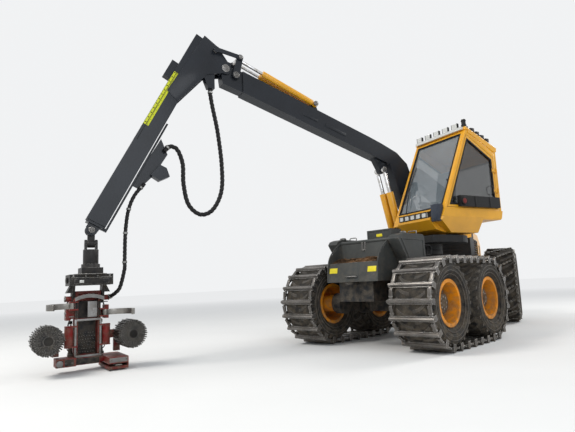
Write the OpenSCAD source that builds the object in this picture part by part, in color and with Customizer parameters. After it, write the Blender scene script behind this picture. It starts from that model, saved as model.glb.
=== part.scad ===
// Six-wheel forestry harvester: tracked front bogies, a chained rear wheel each side, and a
// crane and cab that turn together. The felling head hangs from the end of the telescopic stick.
// Right-handed frame in millimetres: the front looks along -Y, +X is the driver's left, +Z is up.
// The origin is in the middle of the bore of the front tow lug.

/* [Running gear] */
// Height of the front wheel centres, which puts the track cleats on the ground
front_wheel_z = 731; // [700:1:760]
// Distance between the two wheels of a bogie
bogie_gap = 1510; // [1450:5:1560]
// Radius of the front tyres
front_tyre_r = 665; // [640:1:680]
// Width of the front tyres
front_tyre_w = 709; // [600:1:720]
// Outer edge of the tracks from the centreline
track_outer = 1513; // [1450:1:1560]
// Number of shoes round each track
shoe_count = 29; // [24:1:40]
// Radius of the rear tyres
rear_tyre_r = 830; // [800:1:850]
// Width of the rear tyres
rear_tyre_w = 700; // [600:1:720]
// Depth of the chain net on the rear tyres
chain_t = 45; // [30:1:60]
// Centre of the rear wheels from the centreline
rear_wheel_x = 1110; // [1080:1:1160]
// Distance from the steering joint to the rear axle
rear_axle_y = 2000; // [1900:10:2100]

/* [Rest pose] */
// Angle of the rear frame to the front frame
steer_rest = 18; // [-38:1:38]
// Angle of cab and crane to the front frame
slew_rest = 17; // [-90:1:90]
// Angle of the head about its hanger, so that it opens towards the side
head_yaw = 95; // [0:1:180]

/* [Frames] */
// Steering joint behind the bogie pivots
steer_y = 1900; // [1800:10:2000]
// Radius of the steering pin
steer_pin_r = 60; // [50:1:80]
// Slewing axis behind the bogie pivots
slew_y = 900; // [800:10:1000]
// Radius of the slewing ring
ring_r = 520; // [450:5:600]
// Radius of the bore in the front tow lug
tow_bore_r = 30; // [25:1:40]
// Thickness of the front tow lug
tow_lug_t = 40; // [30:1:50]
// Half-width of the front bin
bin_half_w = 523; // [480:1:560]

/* [Cab] */
// Left side of the cab from the slewing axis
cab_left = 1150; // [1100:5:1200]
// Right side of the cab from the slewing axis
cab_right = -150; // [-200:5:-100]
// Thickness of the cab walls and the door
cab_t = 50; // [40:1:60]
// Gap round the door
door_gap = 8; // [6:1:12]
// Thickness of the panes
pane_t = 8; // [6:1:12]

/* [Crane] */
// Crane plane from the slewing axis, on the driver's right
crane_x = -450; // [-500:5:-420]
// Width of the boom
boom_w = 260; // [240:2:280]
// Width of the boom's heel and tip
boom_end_w = 200; // [180:2:210]
// Running clearance beside a pinned plate
side_gap = 8; // [5:1:12]
// Radius of the lift cylinder barrels
lift_r = 75; // [65:1:85]
// Radius of the lift cylinder rods
lift_rod_r = 40; // [30:1:50]
// Radius of the stick cylinder barrels
luff_r = 58; // [50:1:65]
// Radius of the stick cylinder rods
luff_rod_r = 30; // [25:1:40]
// Width of the stick's outer tube
stick_w = 250; // [230:2:270]
// Depth of the stick's outer tube
stick_d = 300; // [280:2:320]
// Wall of the stick's tubes
stick_t = 14; // [10:1:20]
// Clearance round the sliding inner tube
slide_gap = 4; // [2:0.5:6]

/* [Head] */
// Radius of the feed rollers over their ribs
roller_r = 208; // [190:1:230]
// Length of the feed rollers
roller_len = 380; // [350:5:450]
// Number of ribs on each feed roller
rib_count = 20; // [12:1:28]

/* [Hidden] */
$fn = 48;

// Front frame heights and the tow lug, whose bore holds the origin
frame_z0 = 780;
frame_z1 = 1110;
tow_y = -1345;
tow_z = 1080;

// Clearance of pieces that seat on one another, and of pins in their bores
seat_gap = 0.3;
pin_gap = 0.05;

// Track loop: the shoes' plates lie just over the tyres and the ribs reach the ground
track_w = front_tyre_w + 27;
track_x = track_outer - track_w / 2;
track_in = track_outer - track_w;
shoe_r0 = front_tyre_r + seat_gap;
shoe_r1 = shoe_r0 + 22;
track_r = front_wheel_z;
loop_r = (shoe_r0 + shoe_r1) / 2;
loop_len = 2 * bogie_gap + 2 * PI * loop_r;
beam_x1 = track_x - 400;
beam_x0 = beam_x1 - 185;

// Hood hinge across the tail: back, up
hood_pin = [3300, 1140];

// Rear wheel height over its chains
rear_wheel_z = rear_tyre_r + chain_t;
spindle_r = 80;

// Slewing ring: fixed half, then the turning half 5 mm above it
ring_z0 = 1560;
ring_z1 = 1645;
ring_bore_r = ring_r - 120;
table_z0 = ring_z1 + 5;
table_z1 = 1760;
deck_z1 = 1890;

// Crane points in the crane's own plane: distance ahead of the slewing axis, height
heel_p = [-400, 2400];
lift_base_p = [40, 1985];
lift_eye_p = [370, 3400];
knee_p = [3850, 4980];
rocker_p = [3660, 4880];
luff_base_p = [1980, 4600];
luff_eye_p = [3580, 5215];
link_eye_p = [4030, 5280];
stick_o = [4270, 5400];
stick_deg = 62.3;
tip_a = 3780;
tip_p = stick_o + tip_a * [cos(stick_deg), -sin(stick_deg)];

// Widths beside the crane plane, from the boom's tip outwards
ear_t = 25;
ear_x = boom_end_w / 2 + side_gap;
rocker_x = ear_x + ear_t + side_gap;
rocker_t = 20;
link_x = rocker_x + rocker_t + side_gap;
lift_len = norm(lift_eye_p - lift_base_p);
luff_len = norm(luff_eye_p - luff_base_p);
lift_x = 105;
luff_x = 75;
ext_w = stick_w - 2 * stick_t - 2 * slide_gap;
ext_d = stick_d - 2 * stick_t - 2 * slide_gap;

// Cab outline seen from the left: distance ahead of the slewing axis, height
cab_w = cab_left - cab_right;
cab_mid = (cab_left + cab_right) / 2;
cab_f0 = [400, 2150];
cab_f1 = [-420, 3900];
front_t = 46;
sill_z = 2340;
rear_f = -1160;
roof_f = [-415, 3960];
roof_r = [-1245, 3600];
function front_line(z) = cab_f0[0] + (z - cab_f0[1]) * (cab_f1[0] - cab_f0[0]) / (cab_f1[1] - cab_f0[1]);
roof_slope = (roof_f[1] - roof_r[1]) / (roof_f[0] - roof_r[0]);
door_z0 = 2380;
door_z1 = 3790;
door_f = -1110;
door_front = front_t + door_gap;
door_fall = 390;
door_pts = [[front_line(door_z0) - door_front, door_z0], [front_line(door_z1) - door_front, door_z1],
    [door_f, door_z1 - door_fall], [door_f, door_z0]];
win_z0 = 2420;
win_z1 = 3730;
door_win = [[front_line(win_z0) - door_front - 36, win_z0], [front_line(win_z1) - door_front - 36, win_z1],
    [door_f + 38, win_z1 - 370], [door_f + 38, win_z0]];
side_win = [[front_line(win_z0) - 110, win_z0], [front_line(win_z1 - 40) - 110, win_z1 - 40],
    [-1050, win_z1 - 360], [-1050, win_z0]];
hinge_zs = [2700, 3100];

// Head heights
hang_z = tip_p[1];
box_z1 = 1400;
box_z0 = 1240;
tilt_p = [220, 1050];
roller_z = 500;
roller_x = 565;
knife_zr = 790;
knife_zl = 905;
knife_h = 85;
knife_p = [232, 90];
arm_p = [258, 150];
arm_z0 = 375;
arm_z1 = 635;
saw_p = [360, 380];

// Hose routes in the crane plane, beside the bracket that holds them
bracket_t = 16;
loop_hose_r = 38;
head_hose_r = 30;
loop_path = [[4120, 4570 - seat_gap], [4120, 4480], [4085, 4250], [4000, 3800], [3940, 3200],
    [3960, 2750], [4120, 2430], [4340, 2340], [4540, 2500], [4620, 2840], [4630, 3180], [4720, 3420],
    [4850, 3460], [4935, 3370]];
head_path = [[5250, 2810], [5400, 2620], [5490, 2400], [5530, 2150], [5545, 1900], [5550, 1560]];

// Placing
module at_base() translate([0, -tow_y, -tow_z]) children();
module at_rear() at_base() translate([0, steer_y, 0]) rotate([0, 0, steer_rest]) children();
module at_super() at_base() translate([0, slew_y, 0]) rotate([0, 0, -slew_rest]) children();
module at_tip() at_super() translate([crane_x, -tip_p[0], 0]) children();
module at_head() at_tip() rotate([0, 0, head_yaw]) children();
module both() { children(); mirror([1, 0, 0]) children(); }

// A plate drawn seen from the left (ahead, up), w wide and centred on x
module fz_plate(w, x) translate([x + w / 2, 0, 0]) rotate([90, 0, -90]) linear_extrude(w) children();
// A plate drawn in back-and-up coordinates from x, w wide towards +X
module yz_plate(w, x) translate([x, 0, 0]) rotate([90, 0, 90]) linear_extrude(w) children();
// A pair of plates from x0 outwards on both sides of the crane plane
module fz_pair(w, x0) {
    fz_plate(w, crane_x + x0 + w / 2) children();
    fz_plate(w, crane_x - x0 - w / 2) children();
}
module pin_at(p, r, w, x) translate([x, -p[0], p[1]]) rotate([0, 90, 0]) cylinder(r = r, h = w, center = true);
module pin_pair(p, r, w, x0) {
    pin_at(p, r, w, crane_x + x0 + w / 2);
    pin_at(p, r, w, crane_x - x0 - w / 2);
}
module disc(p, r) translate(p) circle(r = r);
// A cylinder barrel or rod along the line from p towards q, from s0 to s1
module ram(p, q, s0, s1, r, x) {
    a = atan2(q[1] - p[1], q[0] - p[0]);
    translate([x, -p[0], p[1]]) rotate([90 - a, 0, 0]) translate([0, 0, s0]) cylinder(r = r, h = s1 - s0);
}
module stick_at() translate(stick_o) rotate(-stick_deg) children();

// A flat loop round two wheels
module loop2d(r, n = $fn) {
    for (s = [-1, 1]) translate([s * bogie_gap / 2, 0]) circle(r = r, $fn = n);
    translate([-bogie_gap / 2, -r]) square([bogie_gap, 2 * r]);
}
// Place on the loop at run length s: [y, z, angle]
function loop_at(s, r) =
    let (arc = PI * r)
    s < bogie_gap ? [-bogie_gap / 2 + s, r, 0] :
    s < bogie_gap + arc ? let (a = (s - bogie_gap) / r * 180 / PI)
        [bogie_gap / 2 + r * sin(a), r * cos(a), -a] :
    s < 2 * bogie_gap + arc ? [bogie_gap / 2 - (s - bogie_gap - arc), -r, 180] :
    let (a = (s - 2 * bogie_gap - arc) / r * 180 / PI)
        [-bogie_gap / 2 - r * sin(a), -r * cos(a), 180 - a];

// A wheel part turned about X
module turned(n = $fn) rotate([0, 90, 0]) rotate_extrude($fn = n) children();
module tyre(ro, ri, w) turned(32) polygon([
    [ri, -w * 0.37], [ri + 45, -w * 0.39], [ri + (ro - ri) * 0.45, -w * 0.5], [ro - 60, -w * 0.48],
    [ro, -w * 0.34], [ro, w * 0.34], [ro - 60, w * 0.48], [ri + (ro - ri) * 0.45, w * 0.5],
    [ri + 45, w * 0.39], [ri, w * 0.37]]);
// A rim with its dished disc and hub, its flanges just outside the tyre's beads
module rim(ri, w, hub_x) {
    f = w * 0.39 + 6;
    turned(40) polygon([[ri - 26, -f - 16], [ri + 30, -f - 16], [ri + 30, -f], [ri - 2, -f], [ri - 2, f],
        [ri + 30, f], [ri + 30, f + 16], [ri - 26, f + 16], [ri - 26, 60], [ri - 60, 40], [180, 54], [180, 74],
        [120, 96], [0, 96], [0, 0], [ri - 26, 0]]);
    translate([hub_x, 0, 0]) rotate([0, 90, 0]) cylinder(r = 150, h = 60 - hub_x);
}

// One hose swept along a route in the crane plane, r thick, with n sides
module hose(path, r, x, n = 8) {
    m = len(path);
    dirs = [for (i = [0:m - 1]) let (d = path[min(i + 1, m - 1)] - path[max(i - 1, 0)]) d / norm(d)];
    pts = [for (i = [0:m - 1]) for (k = [0:n - 1])
        let (c = r * cos(360 * k / n), s = r * sin(360 * k / n), p = path[i] + c * [-dirs[i][1], dirs[i][0]])
        [x + s, -p[0], p[1]]];
    sides = [for (i = [0:m - 2]) for (k = [0:n - 1])
        [i * n + k, i * n + (k + 1) % n, (i + 1) * n + (k + 1) % n, (i + 1) * n + k]];
    polyhedron(pts, concat([[for (k = [n - 1:-1:0]) k]], sides, [[for (k = [0:n - 1]) (m - 1) * n + k]]));
}

// Front frame: box beam, portal axle, turret for the slewing ring, steering plates and tow lug
module front_frame() color("#2c3034") at_base() {
    difference() {
        union() {
            translate([-350, -1180, frame_z0]) cube([700, 2780, frame_z1 - frame_z0]);
            for (z = [frame_z0, frame_z1 - 60]) {
                translate([-260, 1550, z]) cube([520, steer_y - 1550, 60]);
                translate([0, steer_y, z]) cylinder(r = 260, h = 60);
            }
            translate([0, slew_y, frame_z1 - 10]) cylinder(r = ring_r - 60, h = ring_z0 - frame_z1 + 10);
            translate([-70, tow_y, tow_z - tow_lug_t / 2]) cube([140, -1170 - tow_y, tow_lug_t]);
            translate([0, tow_y, tow_z - tow_lug_t / 2]) cylinder(r = 70, h = tow_lug_t);
        }
        translate([0, steer_y, 700]) cylinder(r = steer_pin_r + pin_gap, h = 600);
        translate([0, tow_y, tow_z - 60]) cylinder(r = tow_bore_r, h = 120);
    }
    translate([0, 0, front_wheel_z]) rotate([0, 90, 0]) cylinder(r = 170, h = 2 * beam_x0, center = true);
    translate([-360, -300, 560]) cube([720, 600, 240]);
}

// Bogie beams, one inside each track
module bogie_beams() color("#26292c") at_base() both() {
    yz_plate(beam_x1 - beam_x0, beam_x0) translate([0, front_wheel_z]) {
        for (s = [-1, 1]) disc([s * bogie_gap / 2, 0], 185);
        translate([-bogie_gap / 2, -150]) square([bogie_gap, 300]);
        circle(r = 230);
    }
}

module front_wheel_places() both()
    for (s = [-1, 1]) translate([track_x, s * bogie_gap / 2, front_wheel_z]) children();
module front_rims() color("#d98e1c") at_base() front_wheel_places() rim(338, front_tyre_w, beam_x1 - track_x);
module front_tyres() color("#1d1c1b") at_base() front_wheel_places()
    tyre(front_tyre_r, 336 + seat_gap, front_tyre_w);

// A steel track shoe lying across the loop: a rounded bar on a plate, with a horn beside each tyre wall
horn_t = 12;
horn_h = 70;
module shoe() {
    bar_h = track_r - loop_r;
    x = track_w / 2;
    translate([0, 42, 0]) rotate([90, 0, 0]) linear_extrude(84) polygon([[-x, 11], [-x, -horn_h],
        [horn_t - x, -horn_h], [horn_t - x, -11], [x - horn_t, -11], [x - horn_t, -horn_h], [x, -horn_h], [x, 11]]);
    yz_plate(track_w, -track_w / 2)
        polygon([[-34, 0], [-26, bar_h - 14], [-10, bar_h], [10, bar_h], [26, bar_h - 14], [34, 0]]);
}
// Side links join the shoes over the tyres' shoulders, where the tread has already dropped away
link_w = 40;
link_x0 = track_w / 2 - 68;
module tracks() color("#7d7a76") at_base() both() {
    translate([track_x, 0, front_wheel_z])
        for (i = [0:shoe_count - 1]) let (p = loop_at(i * loop_len / shoe_count, loop_r))
            translate([0, p[0], p[1]]) rotate([p[2], 0, 0]) shoe();
    for (s = [-1, 1]) yz_plate(link_w, track_x + s * (link_x0 + link_w / 2) - link_w / 2)
        translate([0, front_wheel_z]) difference() {
            loop2d(shoe_r1, 32);
            loop2d(shoe_r0 - 4, 32);
        }
}

// Front bin: front plate, floor, back wall and two sloping side plates, with the pipe along its top
module front_bin() color("#3b3d3f") at_base() {
    side = [[-1290, 1110], [-1200, 1540], [-850, 1815], [-640, 1815], [-640, 1150], [-760, 1110]];
    both() yz_plate(14, bin_half_w - 14) polygon(side);
    yz_plate(2 * bin_half_w - 28, 14 - bin_half_w)
        polygon([[-1290, 1110], [-1228, 1420], [-1210, 1420], [-1270, 1128], [-780, 1128], [-780, 1110]]);
    yz_plate(2 * bin_half_w - 28, 14 - bin_half_w)
        polygon([[-1240, 1330], [-920, 1330], [-860, 1790], [-840, 1790], [-900, 1310], [-1245, 1310]]);
    translate([14 - bin_half_w, -845, 1800]) rotate([0, 90, 0]) cylinder(r = 32, h = 2 * bin_half_w - 28);
}

// Tanks over the frame, between the bin and the tracks
tank_x0 = bin_half_w + 17;
tank_w = track_in - 37 - tank_x0;
module side_tanks() color("#34373a") at_base() {
    both() yz_plate(tank_w, tank_x0)
        polygon([[-700, 1460], [-950, 1790], [-900, 1850], [-780, 1885], [-130, 1885], [-80, 1850], [-80, 1160],
            [-620, 1160]]);
    both() translate([250, -620, frame_z1]) cube([bin_half_w - 133, 440, 1161 - frame_z1]);
}

// Locker on the deck behind the bin
module front_locker() color("#3a3d40") at_base() {
    difference() {
        translate([0, -750, 1490]) cube([495, 330, 500]);
        translate([30, -760, 1820]) cube([435, 18, 140]);
    }
    translate([-240, -770, frame_z1]) cube([480, 590, 1500 - frame_z1]);
}

module slew_ring() color("#5a5550") at_base() translate([0, slew_y, ring_z0]) difference() {
    cylinder(r = ring_r, h = ring_z1 - ring_z0);
    translate([0, 0, -1]) cylinder(r = ring_bore_r, h = ring_z1 - ring_z0 + 2);
}

// Hose loops on the back of the left tank
loop_bend = 85;
module front_hoses() color("#17181a") at_base() for (k = [0:2])
    translate([tank_x0 + 40 + k * 55, -80 + seat_gap, 1615]) {
        for (s = [-1, 1]) translate([0, 0, s * loop_bend]) rotate([-90, 0, 0])
            cylinder(r = 18, h = 120 + k * 50);
        translate([0, 120 + k * 50, 0]) rotate([0, 90, 0]) rotate_extrude(angle = 180, $fn = 32)
            translate([loop_bend, 0]) circle(r = 18, $fn = 32);
    }

// Rear frame with the steering pin, the drop to the axle and the tail plate
module rear_frame() color("#2c3034") at_rear() {
    translate([0, 0, frame_z0 + 65]) cylinder(r = 200, h = frame_z1 - frame_z0 - 130);
    translate([0, 0, frame_z0 - 10]) cylinder(r = steer_pin_r, h = frame_z1 - frame_z0 + 20);
    translate([-150, 50, frame_z0 + 65]) cube([300, 500, frame_z1 - frame_z0 - 130]);
    translate([-420, 450, frame_z0 + 40]) cube([840, 2850, 280]);
    translate([0, rear_axle_y, rear_wheel_z]) rotate([0, 90, 0]) cylinder(r = 160, h = 1360, center = true);
    translate([0, rear_axle_y, rear_wheel_z]) rotate([0, 90, 0])
        cylinder(r = spindle_r, h = 2 * rear_wheel_x + 160, center = true);
    translate([-300, rear_axle_y - 250, 620]) cube([600, 500, 300]);
    translate([-640, 3300, 760]) cube([1280, 60, 330]);
    for (x = [-420, 360]) translate([x, 3250, 1080]) cube([60, 90, hood_pin[1] + 25 - 1080]);
    translate([0, hood_pin[0], hood_pin[1]]) rotate([0, 90, 0]) cylinder(r = 14, h = 800, center = true);
}
module engine_block() color("#4a4d50") at_rear() translate([-300, 1300, 1100]) cube([600, 1100, 700]);

hood_pts = [[560, 1110], [560, 1960], [1050, 2000], [1200, 2150], [2600, 2150], [3280, 1940], [3280, 1110]];
module hood() color("#d98e1c") at_rear() difference() {
    union() {
        yz_plate(1180, -590) polygon(hood_pts);
        translate([0, hood_pin[0], hood_pin[1]]) rotate([0, 90, 0]) cylinder(r = 26, h = 680, center = true);
    }
    yz_plate(1100, -550) offset(delta = -40) polygon(hood_pts);
    translate([-550, 600, 1000]) cube([1100, 2640, 200]);
    translate([-420, 3200, 1250]) cube([840, 200, 560]);
    translate([-700, 1450, 1560]) cube([1400, 900, 400]);
    for (x = [-430, 350]) translate([x, 3200, 1050]) cube([80, 200, 140]);
    translate([0, hood_pin[0], hood_pin[1]]) rotate([0, 90, 0])
        cylinder(r = 14 + pin_gap, h = 900, center = true);
}
module grille() color("#1b1c1e") at_rear() {
    for (k = [0:8]) translate([-420, 3245, 1260 + k * 60]) cube([840, 30, 22]);
    both() for (k = [0:6]) translate([555, 1450, 1580 + k * 56]) cube([28, 900, 24]);
}

// Chained rear wheel
module chain_net(r) {
    for (k = [0:17]) rotate([k * 20, 0, 0]) translate([0, 0, r - 12]) both()
        rotate([0, 0, 28]) translate([0, -18, 0]) cube([300, 36, chain_t + 10]);
    for (s = [-1, 1]) turned(32) translate([r - 30, s * 285 - 14]) square([38, 28]);
}
module rear_wheel_place(s) at_rear() translate([s * rear_wheel_x, rear_axle_y, rear_wheel_z])
    rotate([0, 0, s > 0 ? 0 : 180]) children();
module rear_rim() color("#d98e1c") difference() {
    rim(433, rear_tyre_w, 686 - rear_wheel_x);
    translate([-500, 0, 0]) rotate([0, 90, 0]) cylinder(r = spindle_r + pin_gap, h = 590);
}
module rear_tyre() color("#1d1c1b") {
    tyre(rear_tyre_r, 431 + seat_gap, rear_tyre_w);
    chain_net(rear_tyre_r);
}
module rear_rim_left() rear_wheel_place(1) rear_rim();
module rear_rim_right() rear_wheel_place(-1) rear_rim();
module rear_tyre_left() rear_wheel_place(1) rear_tyre();
module rear_tyre_right() rear_wheel_place(-1) rear_tyre();

// Turntable with its deck, the crane's pillar plates and the lug for the lift cylinders
module turntable() color("#303336") at_super() {
    translate([0, 0, table_z0]) cylinder(r = ring_r, h = table_z1 - table_z0);
    translate([0, 0, ring_z0 + 10]) cylinder(r = ring_bore_r - seat_gap, h = table_z0 - ring_z0);
    intersection() {
        translate([-700, -420, table_z1 - 1]) cube([1650, 1200, deck_z1 - table_z1 + 1]);
        translate([0, 0, table_z1 - 1]) cylinder(r = 1000, h = 200);
    }
    fz_pair(45, boom_end_w / 2 + side_gap) {
        polygon([[-60, deck_z1 - 5], [-700, deck_z1 - 5], [-560, 2430], [-240, 2430]]);
        disc(heel_p, 150);
    }
    pin_at(heel_p, 60, boom_end_w + 2 * side_gap + 120, crane_x);
    fz_plate(2 * (lift_x - 30 - side_gap), crane_x) {
        polygon([[-160, deck_z1 - 5], [150, deck_z1 - 5], [110, 2000], [-40, 2000]]);
        disc(lift_base_p, 80);
    }
    pin_at(lift_base_p, 38, 290, crane_x);
}

// Cab, drawn from the left: tub with its lower flank drawn in like a hull, and the nose for the lamps
nose_l = cab_right + 210;
nose_w = 860;
module cab_base() color("#e0a01e") at_super() {
    difference() {
        fz_plate(cab_w, cab_mid) polygon([[400, 2150], [front_line(sill_z), sill_z], [-1250, sill_z],
            [-1200, 2170], [-690, 2160], [-660, 1925], [60, 1925]]);
        fz_plate(cab_w - 2 * cab_t, cab_mid)
            polygon([[330, 2200], [front_line(sill_z) - 55, sill_z + 10], [rear_f + 5, sill_z + 10],
                [rear_f + 5, 2200]]);
        translate([cab_left, -920, 2200]) rotate([0, 26, 0]) translate([0, 0, -500]) cube([400, 2400, 500]);
        translate([cab_left, -330, 2250]) rotate([0, 0, -32]) translate([0, -500, -500]) cube([500, 500, 460]);
    }
    fz_plate(nose_w, nose_l + nose_w / 2) polygon([[312, 2345], [446, 2345], [446, 2322], [404, 2318],
        [404, 2216], [474, 2200], [474, 2160], [330, 1990], [60, 1926], [60, 2100], [300, 2180]]);
    for (x = [0, 700]) for (y = [50, 550]) translate([x, y, deck_z1]) cylinder(r = 60, h = 40);
}
// The four faces of the cab stand on the sill and meet edge to edge under the roof
pane_z0 = 40;
pane_h = 1460;
module cab_front() color("#e0a01e") at_super() difference() {
    fz_plate(cab_w, cab_mid) polygon([[front_line(sill_z), sill_z], [front_line(3900), 3900],
        [front_line(3900) - front_t, 3900], [front_line(sill_z) - front_t, sill_z]]);
    translate([cab_right + 70, -600, sill_z + pane_z0]) cube([cab_w - 160, 1400, pane_h]);
}
module cab_wall() polygon([[front_line(sill_z) - front_t, sill_z], [front_line(3900) - front_t, 3900],
    [-480, 3900], [-480, 3840], [rear_f, 3520], [rear_f, sill_z]]);
module cab_side_left() color("#e0a01e") at_super() {
    fz_plate(cab_t, cab_left - cab_t / 2) difference() {
        cab_wall();
        polygon([[front_line(door_z0), door_z0 - door_gap], [front_line(door_z1 + 30), door_z1 + 30],
            [door_f - door_gap, door_z1 - door_fall + 9], [door_f - door_gap, door_z0 - door_gap]]);
    }
    for (z = hinge_zs) {
        translate([cab_left - 10, -rear_f - 40, z - 14]) cube([41, 39, 10]);
        translate([cab_left + 1, 1150, z - 14]) cube([30, 20, 10]);
        translate([cab_left + 16, 1166, z - 14]) cylinder(r = 8, h = 100);
    }
}
module cab_side_right() color("#e0a01e") at_super() fz_plate(cab_t, cab_right + cab_t / 2) difference() {
    cab_wall();
    polygon(side_win);
}
module cab_rear() color("#e0a01e") at_super() difference() {
    fz_plate(cab_w, cab_mid)
        polygon([[rear_f, sill_z], [rear_f, 3520], [rear_f - 55, 3520], [rear_f - 55, sill_z]]);
    translate([cab_right + 120, 1100, 2600]) cube([cab_w - 240, 200, 760]);
}
module cab_roof() color("#e0a01e") at_super() fz_plate(cab_w + 20, cab_mid)
    polygon([[-400, 3900], roof_f, roof_r, [rear_f - 70, 3520], [rear_f, 3520], [-480, 3840], [-480, 3900]]);
module cab_glass() color([0.6, 0.7, 0.75, 0.4]) at_super() {
    fz_plate(cab_w - 160 - 2 * seat_gap, cab_mid - 10)
        polygon([for (p = [[20, pane_z0 + seat_gap], [20, pane_z0 + pane_h - seat_gap],
            [20 + pane_t, pane_z0 + pane_h - seat_gap], [20 + pane_t, pane_z0 + seat_gap]])
            [front_line(sill_z + p[1]) - p[0], sill_z + p[1]]]);
    fz_plate(pane_t, cab_right + cab_t / 2) offset(delta = -seat_gap) polygon(side_win);
    translate([cab_right + 120 + seat_gap, 1180, 2600 + seat_gap])
        cube([cab_w - 240 - 2 * seat_gap, pane_t, 760 - 2 * seat_gap]);
}
// Five lamps in the nose, five on a rail along the roof's front edge, four small ones and the beacon on
// its left edge
function roof_front(z) = -400 - (z - 3900) / 4 + seat_gap;
function roof_z(f) = roof_f[1] + (f - roof_f[0]) * roof_slope + seat_gap;
module cab_lamps() color("#e8e8e4") at_super() {
    for (k = [0:4]) translate([nose_l + 40 + k * 150, -450, 2222]) cube([115, 46 - seat_gap, 88]);
    fz_plate(cab_w - 80, cab_mid)
        polygon([[-355, 3905], [roof_front(3905), 3905], [roof_front(3955), 3955], [-355, 3955]]);
    for (k = [0:4]) translate([cab_right + 100 + k * 235, 352, 3954]) cube([130, 44, 90]);
    for (f = [-600, -730, -860, -990]) fz_plate(60, cab_left - 45)
        polygon([[f, roof_z(f)], [f - 90, roof_z(f - 90)], [f - 90, roof_z(f) + 75], [f, roof_z(f) + 75]]);
    fz_plate(100, cab_left - 70)
        polygon([[-425, roof_z(-425)], [-525, roof_z(-525)], [-525, 3975], [-425, 3975]]);
    translate([cab_left - 70, 475, 3974]) cylinder(r = 37, h = 150);
}
module cab_seat() color("#26282b") at_super() {
    translate([250, 100, 2200]) cube([400, 300, 253]);
    translate([200, 0, 2452]) cube([500, 500, 130]);
    translate([210, 420, 2550]) rotate([-12, 0, 0]) cube([480, 120, 700]);
    for (x = [115, 695]) translate([x, 50, 2560]) cube([90, 380, 80]);
}
module cab_door() color("#e0a01e") at_super() {
    fz_plate(cab_t, cab_left - cab_t / 2) difference() {
        polygon(door_pts);
        polygon(door_win);
    }
    for (z = hinge_zs) difference() {
        union() {
            translate([cab_left - 5, 1050, z]) cube([15, 50, 80]);
            translate([cab_left + 2, 1090, z]) cube([10, 76, 80]);
            translate([cab_left + 16, 1166, z]) cylinder(r = 15, h = 80);
        }
        translate([cab_left + 16, 1166, z - 10]) cylinder(r = 8 + pin_gap, h = 100);
    }
}
module door_pad() color("#1c1d1f") at_super() {
    translate([cab_left, 30, 2385]) cube([75, 1075, 205]);
    translate([cab_left + 74, 105, 2482]) rotate([0, 90, 0]) cylinder(r = 70, h = 22);
}
module door_glass() color([0.6, 0.7, 0.75, 0.4]) at_super()
    fz_plate(pane_t, cab_left - cab_t / 2) offset(delta = -seat_gap) polygon(door_win);

// Boom: bent box from the heel to the knee, with lugs for the cylinders
module boom() color("#33373d") at_super() difference() {
    union() {
        fz_plate(boom_end_w, crane_x) {
            disc(heel_p, 140);
            polygon([[-262, 2360], [-30, 2780], [-330, 2900], [-538, 2430]]);
            polygon([[3400, 4560], [3900, 4700], [3940, 5060], [3600, 5010], [3400, 4930]]);
            disc(knee_p, 110);
            disc(rocker_p, 85);
        }
        fz_plate(boom_w, crane_x) polygon([[-60, 2720], [100, 3220], [215, 3530], [600, 3650], [3520, 4580],
            [3520, 4985], [700, 4060], [390, 3950], [0, 3790], [-260, 3570], [-400, 3200], [-455, 2800]]);
        fz_plate(2 * (lift_x - lift_rod_r - side_gap), crane_x) {
            disc(lift_eye_p, 75);
            polygon([[295, 3400], [445, 3400], [600, 3670], [230, 3560]]);
        }
        fz_plate(2 * (luff_x - 25 - side_gap), crane_x) {
            disc(luff_base_p, 52);
            polygon([[1850, 4400], [1930, 4600], [2030, 4600], [2110, 4500]]);
        }
        pin_at(luff_base_p, 35, 270, crane_x);
    }
    pin_at(heel_p, 60 + pin_gap, 600, crane_x);
    pin_at(knee_p, 50 + pin_gap, 600, crane_x);
    pin_at(rocker_p, 40 + pin_gap, 600, crane_x);
}

module lift_barrels() color("#e0a01e") at_super()
    for (s = [-1, 1]) let (x = crane_x + s * lift_x) difference() {
    union() {
        ram(lift_base_p, lift_eye_p, 90, 960, lift_r, x);
        ram(lift_base_p, lift_eye_p, 20, 100, 29, x);
        pin_at(lift_base_p, 72, 60, x);
    }
    pin_at(lift_base_p, 38 + pin_gap, 200, x);
    ram(lift_base_p, lift_eye_p, 160, 1000, lift_rod_r + pin_gap, x);
}
module lift_rods() color("#d8dadc") at_super() for (s = [-1, 1]) let (x = crane_x + s * lift_x) {
    ram(lift_base_p, lift_eye_p, lift_len - 870, lift_len - 85, lift_rod_r, x);
    ram(lift_base_p, lift_eye_p, lift_len - 90, lift_len - 20, 27, x);
    pin_at(lift_eye_p, 60, 56, x);
}
module luff_barrels() color("#e0a01e") at_super()
    for (s = [-1, 1]) let (x = crane_x + s * luff_x) difference() {
    union() {
        ram(luff_base_p, luff_eye_p, 70, 1200, luff_r, x);
        ram(luff_base_p, luff_eye_p, 20, 80, 30, x);
        pin_at(luff_base_p, 58, 50, x);
    }
    pin_at(luff_base_p, 35 + pin_gap, 200, x);
    ram(luff_base_p, luff_eye_p, 120, 1250, luff_rod_r + pin_gap, x);
}
module luff_rods() color("#d8dadc") at_super() for (s = [-1, 1]) let (x = crane_x + s * luff_x) {
    ram(luff_base_p, luff_eye_p, luff_len - 790, luff_len, luff_rod_r, x);
    pin_at(luff_eye_p, 52, 46, x);
}

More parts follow.
